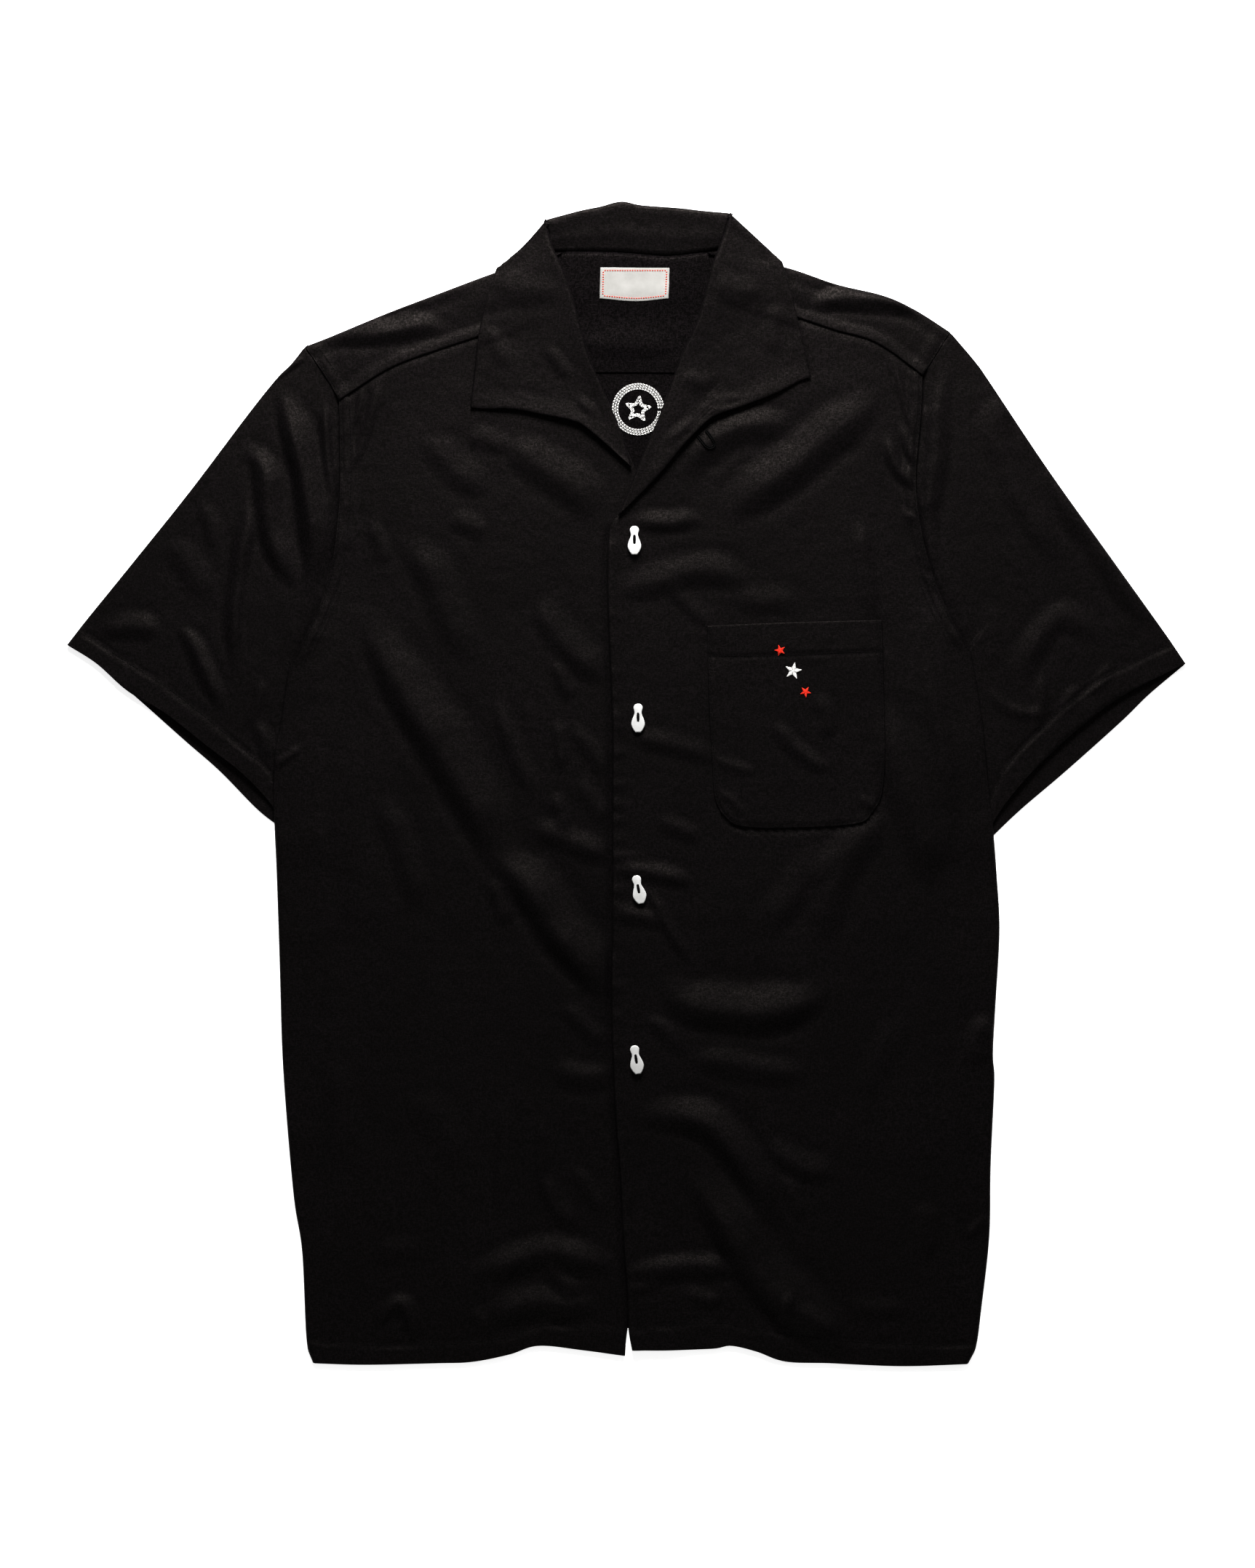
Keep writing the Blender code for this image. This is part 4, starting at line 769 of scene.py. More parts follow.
def cloth_mesh(name, grid, face_up_at, ring_from=None, keep=None):
    """A sheet whose points are a grid in millimetres. The face at `face_up_at` looks up. From the row `ring_from`
    on, the last column is sewn to the first. `keep` says which quads stay."""
    rows, columns = grid.shape[:2]
    body = bmesh.new()
    bmesh.ops.create_grid(body, x_segments=columns - 1, y_segments=rows - 1, size=0.5)
    spot = body.verts.layers.int.new("spot")
    at = {}
    for vert in body.verts:
        row = round((vert.co.y + 0.5) * (rows - 1))
        column = round((vert.co.x + 0.5) * (columns - 1))
        vert[spot] = row * columns + column
        at[row, column] = vert
    if keep:
        unwanted = [
            quad for quad in body.faces
            if not keep(min(v[spot] for v in quad.verts) // columns, min(v[spot] % columns for v in quad.verts))
        ]
        bmesh.ops.delete(body, geom=unwanted, context="FACES")
    if ring_from is not None:
        bmesh.ops.weld_verts(body, targetmap={at[row, columns - 1]: at[row, 0] for row in range(ring_from, rows)})
    points = grid.reshape(-1, 3) * MM
    for vert in body.verts:
        vert.co = points[vert[spot]]
    row, column = face_up_at
    corner, next_column, next_row = (Vector(grid[row + i, column + j]) for i, j in ((0, 0), (0, 1), (1, 0)))
    if (next_column - corner).cross(next_row - corner).z < 0:
        bmesh.ops.reverse_faces(body, faces=body.faces[:])
    return mesh_of(name, body)


def cloth_piece(name, grid, look, face_up_at, thick=CLOTH, offset=-1.0, **shape):
    obj = shown(name, cloth_mesh(name, grid, face_up_at, **shape), look)
    wall = obj.modifiers.new("cloth", "SOLIDIFY")
    wall.thickness = thick * MM
    wall.offset = offset
    wall.use_rim = True
    wall.use_quality_normals = True
    return obj


class Surface:
    """The upper face of a finished sheet, for what is sewn on it."""

    def __init__(self, obj):
        mesh = obj.data
        self.tree = BVHTree.FromPolygons([v.co for v in mesh.vertices], [tuple(p.vertices) for p in mesh.polygons])

    def at(self, x, y):
        """Place and normal on the face over a plan point, in millimetres, or None beside it."""
        spot, normal, _, _ = self.tree.ray_cast(Vector((x * MM, y * MM, 0.1)), -UP)
        return None if spot is None else (spot / MM, normal if normal.z > 0 else -normal)

    def line(self, plan, lift=0.0):
        found = [self.at(x, y) for x, y in plan]
        return [(spot + normal * lift, normal) for spot, normal in (pair for pair in found if pair)]

    def heights(self, plan):
        flat = [self.at(x, y) for x, y in plan.reshape(-1, 2)]
        return np.array([pair[0].z if pair else 0 for pair in flat]).reshape(plan.shape[:-1])


# ---------------------------------------------------------------- the body of the shirt


def two_runs(first, second, share):
    """The row shares of two runs as those of one, where the first run takes `share`."""
    return np.concatenate([first * share, (share + (1 - share) * second)[1:]])


def edge_reach(plan):
    """How far inside the outline of the two fronts each plan point lies."""
    x, y = plan[..., 0], plan[..., 1]
    inside = [np.full(x.shape, np.inf)]
    for side, out in SIDES.items():
        lines = OUTLINE[side]
        edge = joined(through(lines["armhole"], 24), through(lines["side"], 60))[::-1]
        hem = through(lines["hem"], 40)
        hem = hem[np.argsort(hem[:, 0])]
        inside.append(out * (np.interp(y, edge[:, 1], edge[:, 0]) - x))
        inside.append(np.where(out * x > 0, y - np.interp(x, hem[:, 0], hem[:, 1]), np.inf))
    return np.maximum(np.minimum.reduce(inside), 0)


def front_base(plan):
    """The lower face of the fronts' solids, without their folds."""
    x, y = plan[..., 0], plan[..., 1]
    low, high = UNDERARM_SPAN
    over_sleeve = eased(188, 222, np.abs(x)) * eased(low - UNDERARM_FADE, low, y)
    over_sleeve = over_sleeve * (1 - eased(high + 4, high + 4 + UNDERARM_FADE, y))
    return LAYER + LOFT * eased(0, LOFT_REACH, edge_reach(plan)) + UNDERARM_RISE * over_sleeve


def turned_hem(plan, stitch, hand, depth, seed):
    """One more layer from a hem's stitches to its edge, with the cloth drawn in along the stitches. The edge lies
    on the stitches' left where `hand` is 1 and on their right where it is -1."""
    _, place, away = beside(plan, stitch)
    turned = HEM_PLY * (1 - eased(-0.6, 1.2, np.abs(away) - depth)) * (away * hand > 0)
    drawn = -STITCH_DRAW * bump(1.3, away) + 0.22 * wavering(place, 5, seed) * bump(7, away)
    return turned + drawn


def make_back(look):
    neck_rows = (0.6, 2, 4, 6, 9, 12, 15, 18, 21, 24, 28, 32, 37, 42, 48, 54, 60)
    neck_columns = np.arange(0.36, 0.62, 0.0045)
    down = spaced(BACK_SIZE[0], COARSE, start=neck_rows, end=TIGHT)
    across = spaced(BACK_SIZE[1], COARSE, TIGHT, TIGHT)
    across = np.unique(np.round(np.concatenate([across, neck_columns]), 4))
    sides = []
    for side in SIDES:
        lines = OUTLINE[side]
        tuck = through(lines["back_tuck"], 24)
        sides.append(along(joined(through(lines["armhole"], 40), tuck, through(lines["back_side"], 70)), down))
    plan = filled(*sides, along(BACK_SEAM, across), along(BACK_HEM, across), down, across)
    seam, hem = through(BACK_SEAM, 40), through(BACK_HEM, 40)
    plan[..., 1] += 3 * (1 - eased(0, 12, off(plan, seam)))
    away = beside(plan, seam)[2]
    pleats = 0.55 * gathered(plan, seam, 7.5, 34, seed=61) + 0.25 * gathered(plan, seam, 4.2, 20, seed=66)
    high = BACK_REST + CLOTH + (0.15 * (1 + ripple(plan, 30, 67)) + pleats) * eased(3.5, 8, np.abs(away + 3))
    behind_buttons = bump(30, plan[..., 0] + 9)
    lifted = 0.22 * fold_height(bent(plan), UNDERSIDE_FOLDS) * eased(2, 30, off(plan, *sides, hem))
    high = np.minimum(high + np.maximum(lifted * (1 - behind_buttons), -0.1), BACK_HIGHEST)
    return cloth_piece("back_panel", raised(plan, high), look, (2, 2))


def make_sleeve(side, look, ground):
    """Rings round a flattened tube, from the shoulder to the cuff. Each goes from the armhole over the upper
    layer to the folded top edge and back under it."""
    out, lines = SIDES[side], OUTLINE[side]
    seam_share = ARMHOLE_SHARE["sleeve"]
    seam_rows = spaced(length_of(lines["armhole"]), TUBE_STEP)
    under_rows = spaced(length_of(lines["underarm"]), TUBE_STEP, end=TIGHT)
    down = two_runs(seam_rows, under_rows, seam_share)
    across = spaced(SLEEVE_WIDTH, TUBE_STEP, TIGHT, TIGHT)
    armhole = aside(along(lines["armhole"], seam_rows), -out * TUCKED_IN)
    inner = joined(armhole, along(lines["underarm"], under_rows))
    top = along(lines["sleeve_top"], down)
    shoulder = aside(along(lines["yoke_end"][::-1], across), out * 2.0)
    inner[0], top[0] = shoulder[0], shoulder[-1]
    layers = []
    for cuff in ("cuff_front", "cuff_back"):
        end = along(lines[cuff][::-1], across)
        end[0], end[-1] = inner[-1], top[-1]
        layers.append(filled(inner, top, shoulder, end, down, across))
    upper, lower = layers
    row_length = np.linalg.norm(upper[:, -1] - upper[:, 0], axis=1)[:, None]
    from_inner, from_top = across[None] * row_length, (1 - across[None]) * row_length
    sewn = 1 - eased(seam_share - 0.06, seam_share, down)[:, None]
    shut = 1 - sewn
    middle = DOUBLED / 2
    rise = (curl(2.2, from_inner) * shut + sewn) * curl(2.6, from_top)

    seam = through(lines["armhole"], 60)
    from_seam = off(upper, seam)
    swell = np.sin(math.pi * across)[None] * np.sin(math.pi * (0.15 + 0.55 * down))[:, None]
    folds = fold_height(bent(upper), SLEEVE_FOLDS[side] + SLEEVE_CREASES[side])
    high = DOUBLED - 0.1 + SLEEVE_LOFT * swell + folds + 0.8 * rumpled(upper)
    puckers = gathered(upper, seam, 9, 20, seed=71 + (out > 0))
    high = high + (0.7 * puckers - 0.9 * (1 - eased(1.5, 9, from_seam))) * sewn
    high = high + turned_hem(upper, through(lines["cuff_stitch"], 40), out, CUFF_DEPTH, seed=81)
    high = middle + (np.maximum(high, DOUBLED - 0.8) - middle) * rise
    tucked = sewn * (1 - eased(0, 5, from_inner))
    high = high * (1 - tucked) + tucked * np.minimum(high, 1.95) - 0.8 * sewn * bump(2.4, from_seam)
    high = high - 0.7 * shut * (1 - eased(0, 15, off(upper, through(lines["side"], 70))))

    inside = eased(4, 20, from_inner) * eased(4, 20, from_top) * eased(0.01, 0.12, 1 - down)[:, None]
    creases = 0.7 * np.clip(fold_height(bent(lower), SLEEVE_UNDERSIDE_FOLDS[side]), 0, 1) * inside
    low = middle + (0.12 + 0.5 * sewn * (1 - eased(0, 8, from_inner)) + creases - middle) * rise

    upper, lower = raised(upper, high), raised(lower, low)
    grid = np.concatenate([upper, lower[:, -2::-1]], axis=1)
    last_open = len(seam_rows) - 1
    face_up_at = (len(grid) // 2, upper.shape[1] // 2)
    obj = cloth_piece(f"sleeve_{side}_tube", grid, look, face_up_at, ring_from=last_open + 1)
    ground.lay(upper[last_open // 3:])
    return obj


def pocket_edge():
    """The sewn edge of the pocket: down its inner side, round the bottom and up its outer side."""
    return joined(through(POCKET["inner"], 40), through(POCKET["bottom"], 40), through(POCKET["outer"][::-1], 40))


def off_wings(plan):
    """Distance from the nearest outer edge of the collar's wings."""
    return off(plan, *(through(OUTLINE[side]["wing_outer"], 30) for side in SIDES))


def collar_cover(plan):
    """1 well under the collar's wings and 0 outside them."""
    covered = np.zeros(plan.shape[:-1])
    x, y = plan[..., 0], plan[..., 1]
    for side, out in SIDES.items():
        outer = through(OUTLINE[side]["wing_outer"], 30)
        lower = through(OUTLINE[side]["wing_lower"], 40)
        lower = lower[np.argsort(lower[:, 0])]
        within = eased(0, 6, out * (np.interp(y, outer[::-1, 1], outer[::-1, 0]) - x))
        above = eased(0, 6, y - np.interp(x, lower[:, 0], lower[:, 1]))
        covered = np.maximum(covered, within * above * (out * x > -12))
    return covered


def armhole_seam(plan, armhole, left):
    """The front's turned edge at the sleeve: a lip with two sunk rows of stitches, and puckers beside it."""
    _, place, away = beside(plan, armhole)
    away = np.abs(away)
    inner_row, outer_row = SEAM_ROWS
    lip = 1.15 * (1 - eased(8.2, 9.6, away)) - 0.9 * bump(1.1, away - inner_row) - 1.3 * bump(1.3, away - outer_row)
    lip = lip + 0.62 * gathered(plan, armhole, 8.5, 17, seed=91 + left)
    return lip + 0.25 * wavering(place, 4.5, seed=95) * bump(9, away)


def upper_edge(plan, edge):
    """What only the upper front has: puckers between its buttons, a sunk line round the pocket, a thicker edge."""
    x, y = plan[..., 0], plan[..., 1]
    high = 1.1 * (1 - eased(2, 9, off(plan, edge))) * eased(0, 10, 172 - y)
    high = high - 1.0 * bump(1.9, off(plan, aside(pocket_edge(), -1.7)))
    for number, pucker in enumerate(EDGE_PUCKERS):
        reach = x - np.interp(pucker.y, edge[::-1, 1], edge[::-1, 0])
        slope = pucker.y - 0.06 * reach * (-1) ** number
        high = high + pucker.height * bump(4.6, y - slope) * bump(pucker.run, np.maximum(reach, 0))
    return high


def lapped_groove(plan):
    """1 where the under front sinks below the edge that laps it."""
    x, y = plan[..., 0], plan[..., 1]
    lap = through(OUTLINE["left"]["front_edge"], 70)[1:]
    from_lap = x - np.interp(y, lap[::-1, 1], lap[::-1, 0])
    return bump(GROOVE_REACH, np.minimum(from_lap + 1.2, 0)) * eased(0, 12, 180 - y) * (from_lap < 10)


def front_grid(side, ground):
    """The upper face of a front, in rows from the yoke's seam to the hem, each from the front edge outwards."""
    lines = OUTLINE[side]
    left = side == "left"
    neck_rows = spaced(length_of(lines["armhole"]), STEP, start=TIGHT)
    edge_rows = spaced(length_of(lines["side"]), STEP, end=TIGHT)
    down = two_runs(neck_rows, edge_rows, ARMHOLE_SHARE["front"])
    across = spaced(FRONT_WIDTH, STEP, TIGHT, TIGHT)
    inner = joined(along(lines["neck"], neck_rows), along(lines["front_edge"], edge_rows))
    outer = joined(along(lines["armhole"], neck_rows), along(lines["side"], edge_rows))
    plan = filled(inner, outer, along(lines["yoke_seam"], across), along(lines["hem"], across), down, across)
    plan[0] += (0, TUCKED_IN)
    x, y = plan[..., 0], plan[..., 1]
    armhole, seam, hem = through(lines["armhole"], 60), through(lines["yoke_seam"], 40), through(lines["hem"], 60)
    edge, body_side = through(lines["front_edge"], 70), through(lines["side"], 70)
    above_underarm = y - lines["armhole"][-1][1]
    beside_armhole = eased(0, 12, above_underarm)

    high = front_base(plan) + FACE
    if left:
        high = high + LAYER * (1 - eased(OVERLAP_FULL, OVERLAP_GONE, x))
    folds = fold_height(bent(plan), FRONT_FOLDS + FRONT_CREASES) * (1 - 0.15 * eased(20, 120, y))
    high = high + folds * (1 if left else 1 - eased(-6, 8, x))
    high = high + rumpled(plan) * (1 - 0.7 * collar_cover(plan))
    high = high + armhole_seam(plan, armhole, left) * beside_armhole
    from_seam = off(plan, seam)
    high = high - 0.5 * (1 - eased(0.5, 4, from_seam))
    high = high + 0.4 * gathered(plan, seam, 11, 13, seed=97) * eased(1, 4, from_seam)
    high = high + turned_hem(plan, through(lines["hem_stitch"], 60), -SIDES[side], HEM_DEPTH, seed=99)
    high = high - 1.0 * bump(1.7, off_wings(plan))
    if left:
        high = high + upper_edge(plan, edge)
    else:
        sunk = np.minimum(high, LAPPED + CLOTH + CLEAR)
        high = high + (sunk - high) * lapped_groove(plan)

    support = ground.under(plan, 4.0)
    high = np.maximum(high, support + CLOTH + CLEAR)
    below_armhole = eased(-6, 4, -above_underarm)
    rest = np.maximum(0.75, np.where(support > 1.6, support + 1.0, 0))
    rolled = rest + (high - rest) * curl(2.6, off(plan, body_side))
    high = high * (1 - below_armhole) + rolled * below_armhole
    high = high - 0.75 * (1 - curl(1.5, off(plan, edge))) * (y < lines["front_edge"][0][1])
    high = high - 0.6 * (1 - curl(1.4, off(plan, hem)))
    high = high - 0.35 * (1 - curl(1.1, off(plan, armhole))) * beside_armhole
    return raised(plan, high)


# ---------------------------------------------------------------- yoke


def yoke_climb(plan):
    beside_collar = 1 - eased(115, 150, np.abs(plan[..., 0]))
    return LAYER * eased(YOKE_RISE_FROM, YOKE_RISE_TO, plan[..., 1]) * beside_collar


def shoulder_strip(side, plan, rest, shares, ground):
    """The upper face of the yoke's front half on one shoulder."""
    lines = OUTLINE[side]
    seam, shoulder = through(lines["yoke_seam"], 50), through(lines["shoulder"], 50)
    end = through(lines["yoke_end"], 30)
    from_seam, from_end = off(plan, seam), off(plan, end)
    inner_row, outer_row = SEAM_ROWS
    high = rest - 0.05 + 0.35 * rumpled(plan) + SHOULDER_SWELL * np.sin(math.pi * shares)[:, None]
    high = high - 0.5 * bump(5, off(plan, shoulder) - 8) * eased(90, 130, np.abs(plan[..., 0]))
    high = high + 0.5 * gathered(plan, seam, 12, 9, seed=33) + fold_height(plan, YOKE_FOLDS[side])
    high = high + 0.6 * (1 - eased(8.4, 10.2, from_end))
    high = high - 0.55 * bump(1.2, from_end - inner_row) - 0.6 * bump(1.4, from_end - outer_row)
    high = high + 0.5 * gathered(plan, end, 5.5, 12, seed=35) - 1.1 * bump(1.7, off_wings(plan))
    resting = ground.under(plan, 3.0) + CLOTH + CLEAR
    close = 1 - eased(4, 16, from_seam)
    high = np.maximum(high, resting * close + high * (1 - close))
    return high - 0.45 * (1 - curl(1.2, from_seam)) - 0.4 * (1 - curl(1.2, from_end))


def make_yoke(look, inner_look, ground):
    """Rows from the back's seam up to the shoulders, round their fold, and down the front strips. The strips stop
    at the neck, so no quad of theirs is kept there."""
    right, left = OUTLINE["right"], OUTLINE["left"]
    shoulder_share, neck_share = spaced(SHOULDER, SHOULDER_STEP, start=TIGHT), spaced(NECK, SHOULDER_STEP)
    columns = len(shoulder_share)
    shoulders, seams = (
        [along(right[name][::-1], shoulder_share), along(left[name], 1 - shoulder_share[::-1])]
        for name in ("shoulder", "yoke_seam")
    )
    neck = along(NECK_SEAM, neck_share)
    neck[0], neck[-1] = shoulders[0][-1], shoulders[1][0]
    top = joined(shoulders[0], neck, shoulders[1])
    first, last = 0.4 * shoulder_share, 1 - 0.4 * shoulder_share[::-1]
    across = np.concatenate([first, (0.4 + 0.2 * neck_share)[1:], last[1:]])
    down = spaced(YOKE_BACK, TUBE_STEP, start=TIGHT)
    ends = [along(side["yoke_end"][::-1], down) for side in (right, left)]
    back = filled(*ends, along(BACK_SEAM, across), top, down, across)
    climb = yoke_climb(back)
    low = climb + 0.15 + 0.95 * (1 - eased(10, 60, off(back, through(BACK_SEAM, 40))))
    low = low + 0.12 * (1 + ripple(back, 24, seed=31)) + np.maximum(fold_height(back, [NECK_FOLD]), 0)
    rows = [raised(back[row], low[row]) for row in range(len(down) - 1)]

    inward = np.zeros_like(top)
    inward[:, 1] = -1
    for column, end in zip((0, -1), ends):
        direction = (end[-3] - end[-1]) / np.linalg.norm(end[-3] - end[-1])
        near = 1 - eased(0, 9, np.linalg.norm(top - top[column], axis=1))[:, None]
        inward = inward * (1 - near) + direction * near
    inward /= np.linalg.norm(inward, axis=1)[:, None]
    fold, radius = climb[-1], DOUBLED / 2
    on_neck = slice(columns, columns + len(neck_share) - 2)
    for angle in np.radians((-68, -40, -12, 16, 44, 70)):
        row = raised(top + inward * 1.5 * (1 - math.cos(angle)), fold + radius + radius * math.sin(angle))
        row[on_neck] = raised(top, fold + 0.15)[on_neck]
        rows.append(row)

    shares = spaced(YOKE_STRIP, STEP, start=(1.8,), end=(0.4, 1.0, 2.0))[1:]
    strips, heights = [], []
    off_neck = 6.0 * (1 - eased(0, 26, length_of(right["shoulder"]) * (1 - shoulder_share)))[:, None] * (1, 0)
    for share in shares:
        strip = top.copy()
        strip[:columns] += share * (seams[0] - shoulders[0]) - eased(0, 0.12, share) * off_neck
        strip[-columns:] += share * (seams[1] - shoulders[1]) + eased(0, 0.12, share) * off_neck[::-1]
        for column, side in ((0, right), (-1, left)):
            strip[column] = along(side["yoke_end"], np.array([share]))[0]
        strips.append(strip)
        heights.append(np.maximum((fold + DOUBLED) * (1 - 0.45 * share), yoke_climb(strip) + DOUBLED))
    strips, heights = np.stack(strips), np.stack(heights)
    parts = {"right": slice(0, columns), "left": slice(-columns, None)}
    for side, part in parts.items():
        heights[:, part] = shoulder_strip(side, strips[:, part], heights[:, part], shares, ground)
    grid = np.concatenate([np.stack(rows), raised(strips, heights)])

    def keep(row, column):
        return row < len(down) or not columns - 1 <= column < columns + len(neck_share) - 2

    obj = cloth_piece("yoke_folded", grid, look, (grid.shape[0] - 6, columns // 2), keep=keep)
    obj.data.materials.append(inner_look)
    for quad in obj.data.polygons:
        quad.material_index = int(-62 < quad.center.x / MM < 68)
    ground.lay(grid[:len(down) - 1] + (0, 0, CLOTH))
    for part in parts.values():
        ground.lay(grid[len(down) + 6:, part])
    return obj


# ---------------------------------------------------------------- collar

LIP_ROWS = 9
ROLL_ROWS = 9
TURN_STEPS = 9
FALL_SHARES = spaced(COLLAR_FALL, FINE, end=(0.4, 1.0))


def stand_top(plan):
    over_stand = eased(STAND_SEAM_Y - 6, STAND_SEAM_Y - 2, plan[..., 1])
    slope = 2 * BACK_ROLL - LAYER
    up = np.clip((plan[..., 1] - STAND_SEAM_Y) / STAND_DEPTH, 0, 1)
    return over_stand * (LAYER + WALL + slope * up)


def wing(side, ground):
    """One side of the collar: rows up the lip inside the neck, over the roll and out to the wing's edge."""
    lines = OUTLINE[side]
    share = spaced(length_of(lines["roll"]), 1.9, end=(0.5, 1.2))
    across = FALL_SHARES
    roll, outer = along(lines["roll"], share), along(lines["wing_outer"], share)
    plan = filled(roll, outer, along(lines["crease"], across), along(lines["wing_lower"], across), share, across)
    plan = plan.transpose(1, 0, 2)
    rest = COLLAR_CLOTH / 2 + CLEAR + 0.1
    lip = np.maximum(ground.under(roll, 4.0), stand_top(roll)) + rest
    lift = ROLL_LIFT * eased(0, 0.2, share)
    rolled = ROLL_HEIGHT + lift + (LAPEL_HEIGHT - ROLL_HEIGHT - ROLL_LIFT) * share
    rolled = np.maximum(rolled, lip + LEAST_CURL)
    floor = np.maximum(ground.under(plan, 3.0) + rest, CREASE_HEIGHT * (1 - eased(0.1, 0.4, share)))
    down = (1 - across)[:, None] ** 1.5
    high = np.maximum(floor, rolled * down + floor * (1 - down)) + wing_shape(plan, side)
    away = plan[1] - plan[0]
    away /= np.linalg.norm(away, axis=1)[:, None]
    inner = roll + away * 0.55
    rows = []
    for t in np.arange(LIP_ROWS) / LIP_ROWS:
        rows.append(raised(inner + away * 1.4 * (1 - t) ** 2, lip + (rolled - ROLL_RADIUS - lip) * t))
    for angle in math.pi / 2 * np.arange(ROLL_ROWS) / (ROLL_ROWS - 1):
        inset = 1.15 * (1 - math.cos(angle)) * ROLL_RADIUS
        rows.append(raised(inner + away * inset, rolled + (math.sin(angle) - 1) * ROLL_RADIUS))
    start = inner + away * 1.15 * ROLL_RADIUS
    for t, line, height in zip(across[1:], plan[1:], high[1:]):
        rows.append(raised(line + (start - plan[0]) * (1 - t) ** 3, height))
    return np.stack(rows)


def wing_shape(plan, side):
    """Small forms of a wing: an edge that lifts a little between its corners, and puckers at the roll."""
    outer, lower = through(OUTLINE[side]["wing_outer"], 40), through(OUTLINE[side]["wing_lower"], 60)
    run, _, from_lower = beside(plan, lower)
    from_lower, from_outer = np.abs(from_lower), off(plan, outer)
    uneven = 1 + 0.25 * wavering(run * 190, 34, seed=57)
    lifted = WING_LIFT * eased(0.02, 0.3, run) * eased(0, 0.2, 1 - run) * uneven
    shape = lifted * (1 - eased(0, 15, from_lower)) + 1.0 * (1 - eased(1, 10, from_outer)) + 0.6 * rumpled(plan)
    shape = shape + fold_height(plan, WING_FOLDS[side])
    shape = shape - 0.42 * (1 - curl(1.4, np.minimum(from_outer, from_lower)))
    return shape * eased(0.03, 0.2, FALL_SHARES)[:, None]


def back_of_collar():
    """The collar behind the neck: rows up its stand, over the roll and down under it."""
    share = spaced(length_of(COLLAR_TOP), 2.2)
    top, seam = along(COLLAR_TOP, share), along(STAND_EDGE, share)
    creases = [along(OUTLINE[side]["crease"], FALL_SHARES) for side in SIDES]
    fall = filled(*creases, top, along(FALL_EDGE, share), FALL_SHARES, share)
    floor = WALL / 2
    middle = floor + BACK_ROLL
    start = top - (0, 1.2 * BACK_ROLL)
    rows = []
    for t in np.arange(LIP_ROWS) / LIP_ROWS:
        spot = seam * (1 - t) + start * t
        rise = LAYER + WALL / 2 - 0.35 * (1 - t) + (middle + BACK_ROLL - LAYER - WALL / 2) * t
        ridge = 0.45 * bump(0.16, t - 0.42) - 0.35 * bump(0.12, t - 0.06)
        rows.append(raised(spot, rise + ridge + 0.25 * ripple(spot, 16, seed=51)))
    for angle in math.pi / 2 - math.pi * np.arange(ROLL_ROWS) / (ROLL_ROWS - 1):
        inset = 0.15 + 1.05 * (1 - math.cos(angle))
        rows.append(raised(top - (0, inset * BACK_ROLL), middle + math.sin(angle) * BACK_ROLL))
    return np.stack(rows + [raised(line, floor) for line in fall[1:]])


def turn(side, from_wing, from_back):
    """Columns round the end of the roll, from a wing to the part behind the neck."""
    line = along(OUTLINE[side]["crease"], FALL_SHARES)
    outward = aside(line, SIDES[side]) - line
    fall = slice(1 - len(FALL_SHARES), None)
    radius = (from_wing[:, 2] - from_back[:, 2]) / 2
    steps = []
    for share in np.arange(TURN_STEPS + 1) / TURN_STEPS:
        bulge = radius * math.sin(math.pi * share)
        column = from_wing * (1 - share) + from_back * share
        column[:, :2] -= 0.3 * outward[0] * bulge[:, None]
        column[fall, :2] = line[1:] + outward[1:] * (bulge - radius - WALL / 2)[fall, None]
        column[:, 2] = from_back[:, 2] + radius * (1 + math.cos(math.pi * share))
        steps.append(column)
    return np.stack(steps, axis=1)


def make_collar(look, ground):
    right, left = (wing(side, ground) for side in SIDES)
    back = back_of_collar()
    runs = [
        right[:, :0:-1],
        turn("right", right[:, 0], back[:, 0]),
        back[:, 1:-1],
        turn("left", left[:, 0], back[:, -1])[:, ::-1],
        left[:, 1:],
    ]
    starts = np.cumsum([0] + [run.shape[1] for run in runs])

    def keep(row, column):
        turned = any(start <= column < start + TURN_STEPS for start in (starts[1], starts[3]))
        return row >= LIP_ROWS + 3 or not turned

    face_up_at = (LIP_ROWS + ROLL_ROWS + 10, 20)
    obj = cloth_piece("collar_rolled", np.concatenate(runs, axis=1), look, face_up_at, COLLAR_CLOTH, 0.0, keep=keep)
    for run in (runs[0], runs[4]):
        ground.lay(run[LIP_ROWS:] + (0, 0, COLLAR_CLOTH / 2))
    return obj


# ---------------------------------------------------------------- pocket and label


def patch_plan(edges, step, tight=TIGHT):
    down = spaced(length_of(edges["inner"]), step, tight, tight)
    across = spaced(length_of(edges["top"]), step, tight, tight)
    return filled(along(edges["inner"], down), along(edges["outer"], down), along(edges["top"], across),
                  along(edges["bottom"], across), down, across)


def make_pocket(look, front_face):
    plan = patch_plan(POCKET, FINE)
    inner, outer, bottom = (through(POCKET[edge], 60) for edge in ("inner", "outer", "bottom"))
    from_sides, from_mouth = off(plan, inner, outer, bottom), off(plan, through(POCKET["top"], 40))
    _, place, from_hem = beside(plan, through(POCKET_HEM, 40))
    high = front_face.heights(plan) + CLOTH + CLEAR + 0.3
    high = high + 0.25 * eased(0.6, 2.2, from_sides) + 0.30 * eased(-0.5, 1.4, from_hem)
    high = high - 0.55 * bump(1.1, from_hem) + 0.18 * wavering(place, 6, seed=103) * bump(8, from_hem)
    high = high - 0.5 * bump(1.1, from_sides - 1.5) + 0.25 * gathered(plan, bottom, 8, 12, seed=105)
    high = high + 0.22 * gathered(plan, inner, 9, 9, seed=107) + 0.2 * ripple(plan, 22, seed=109)
    high = high - 0.45 * (1 - curl(1.2, from_sides)) - 0.35 * (1 - curl(1.2, from_mouth))
    return cloth_piece("pocket_patch", raised(plan, high), look, (4, 4))


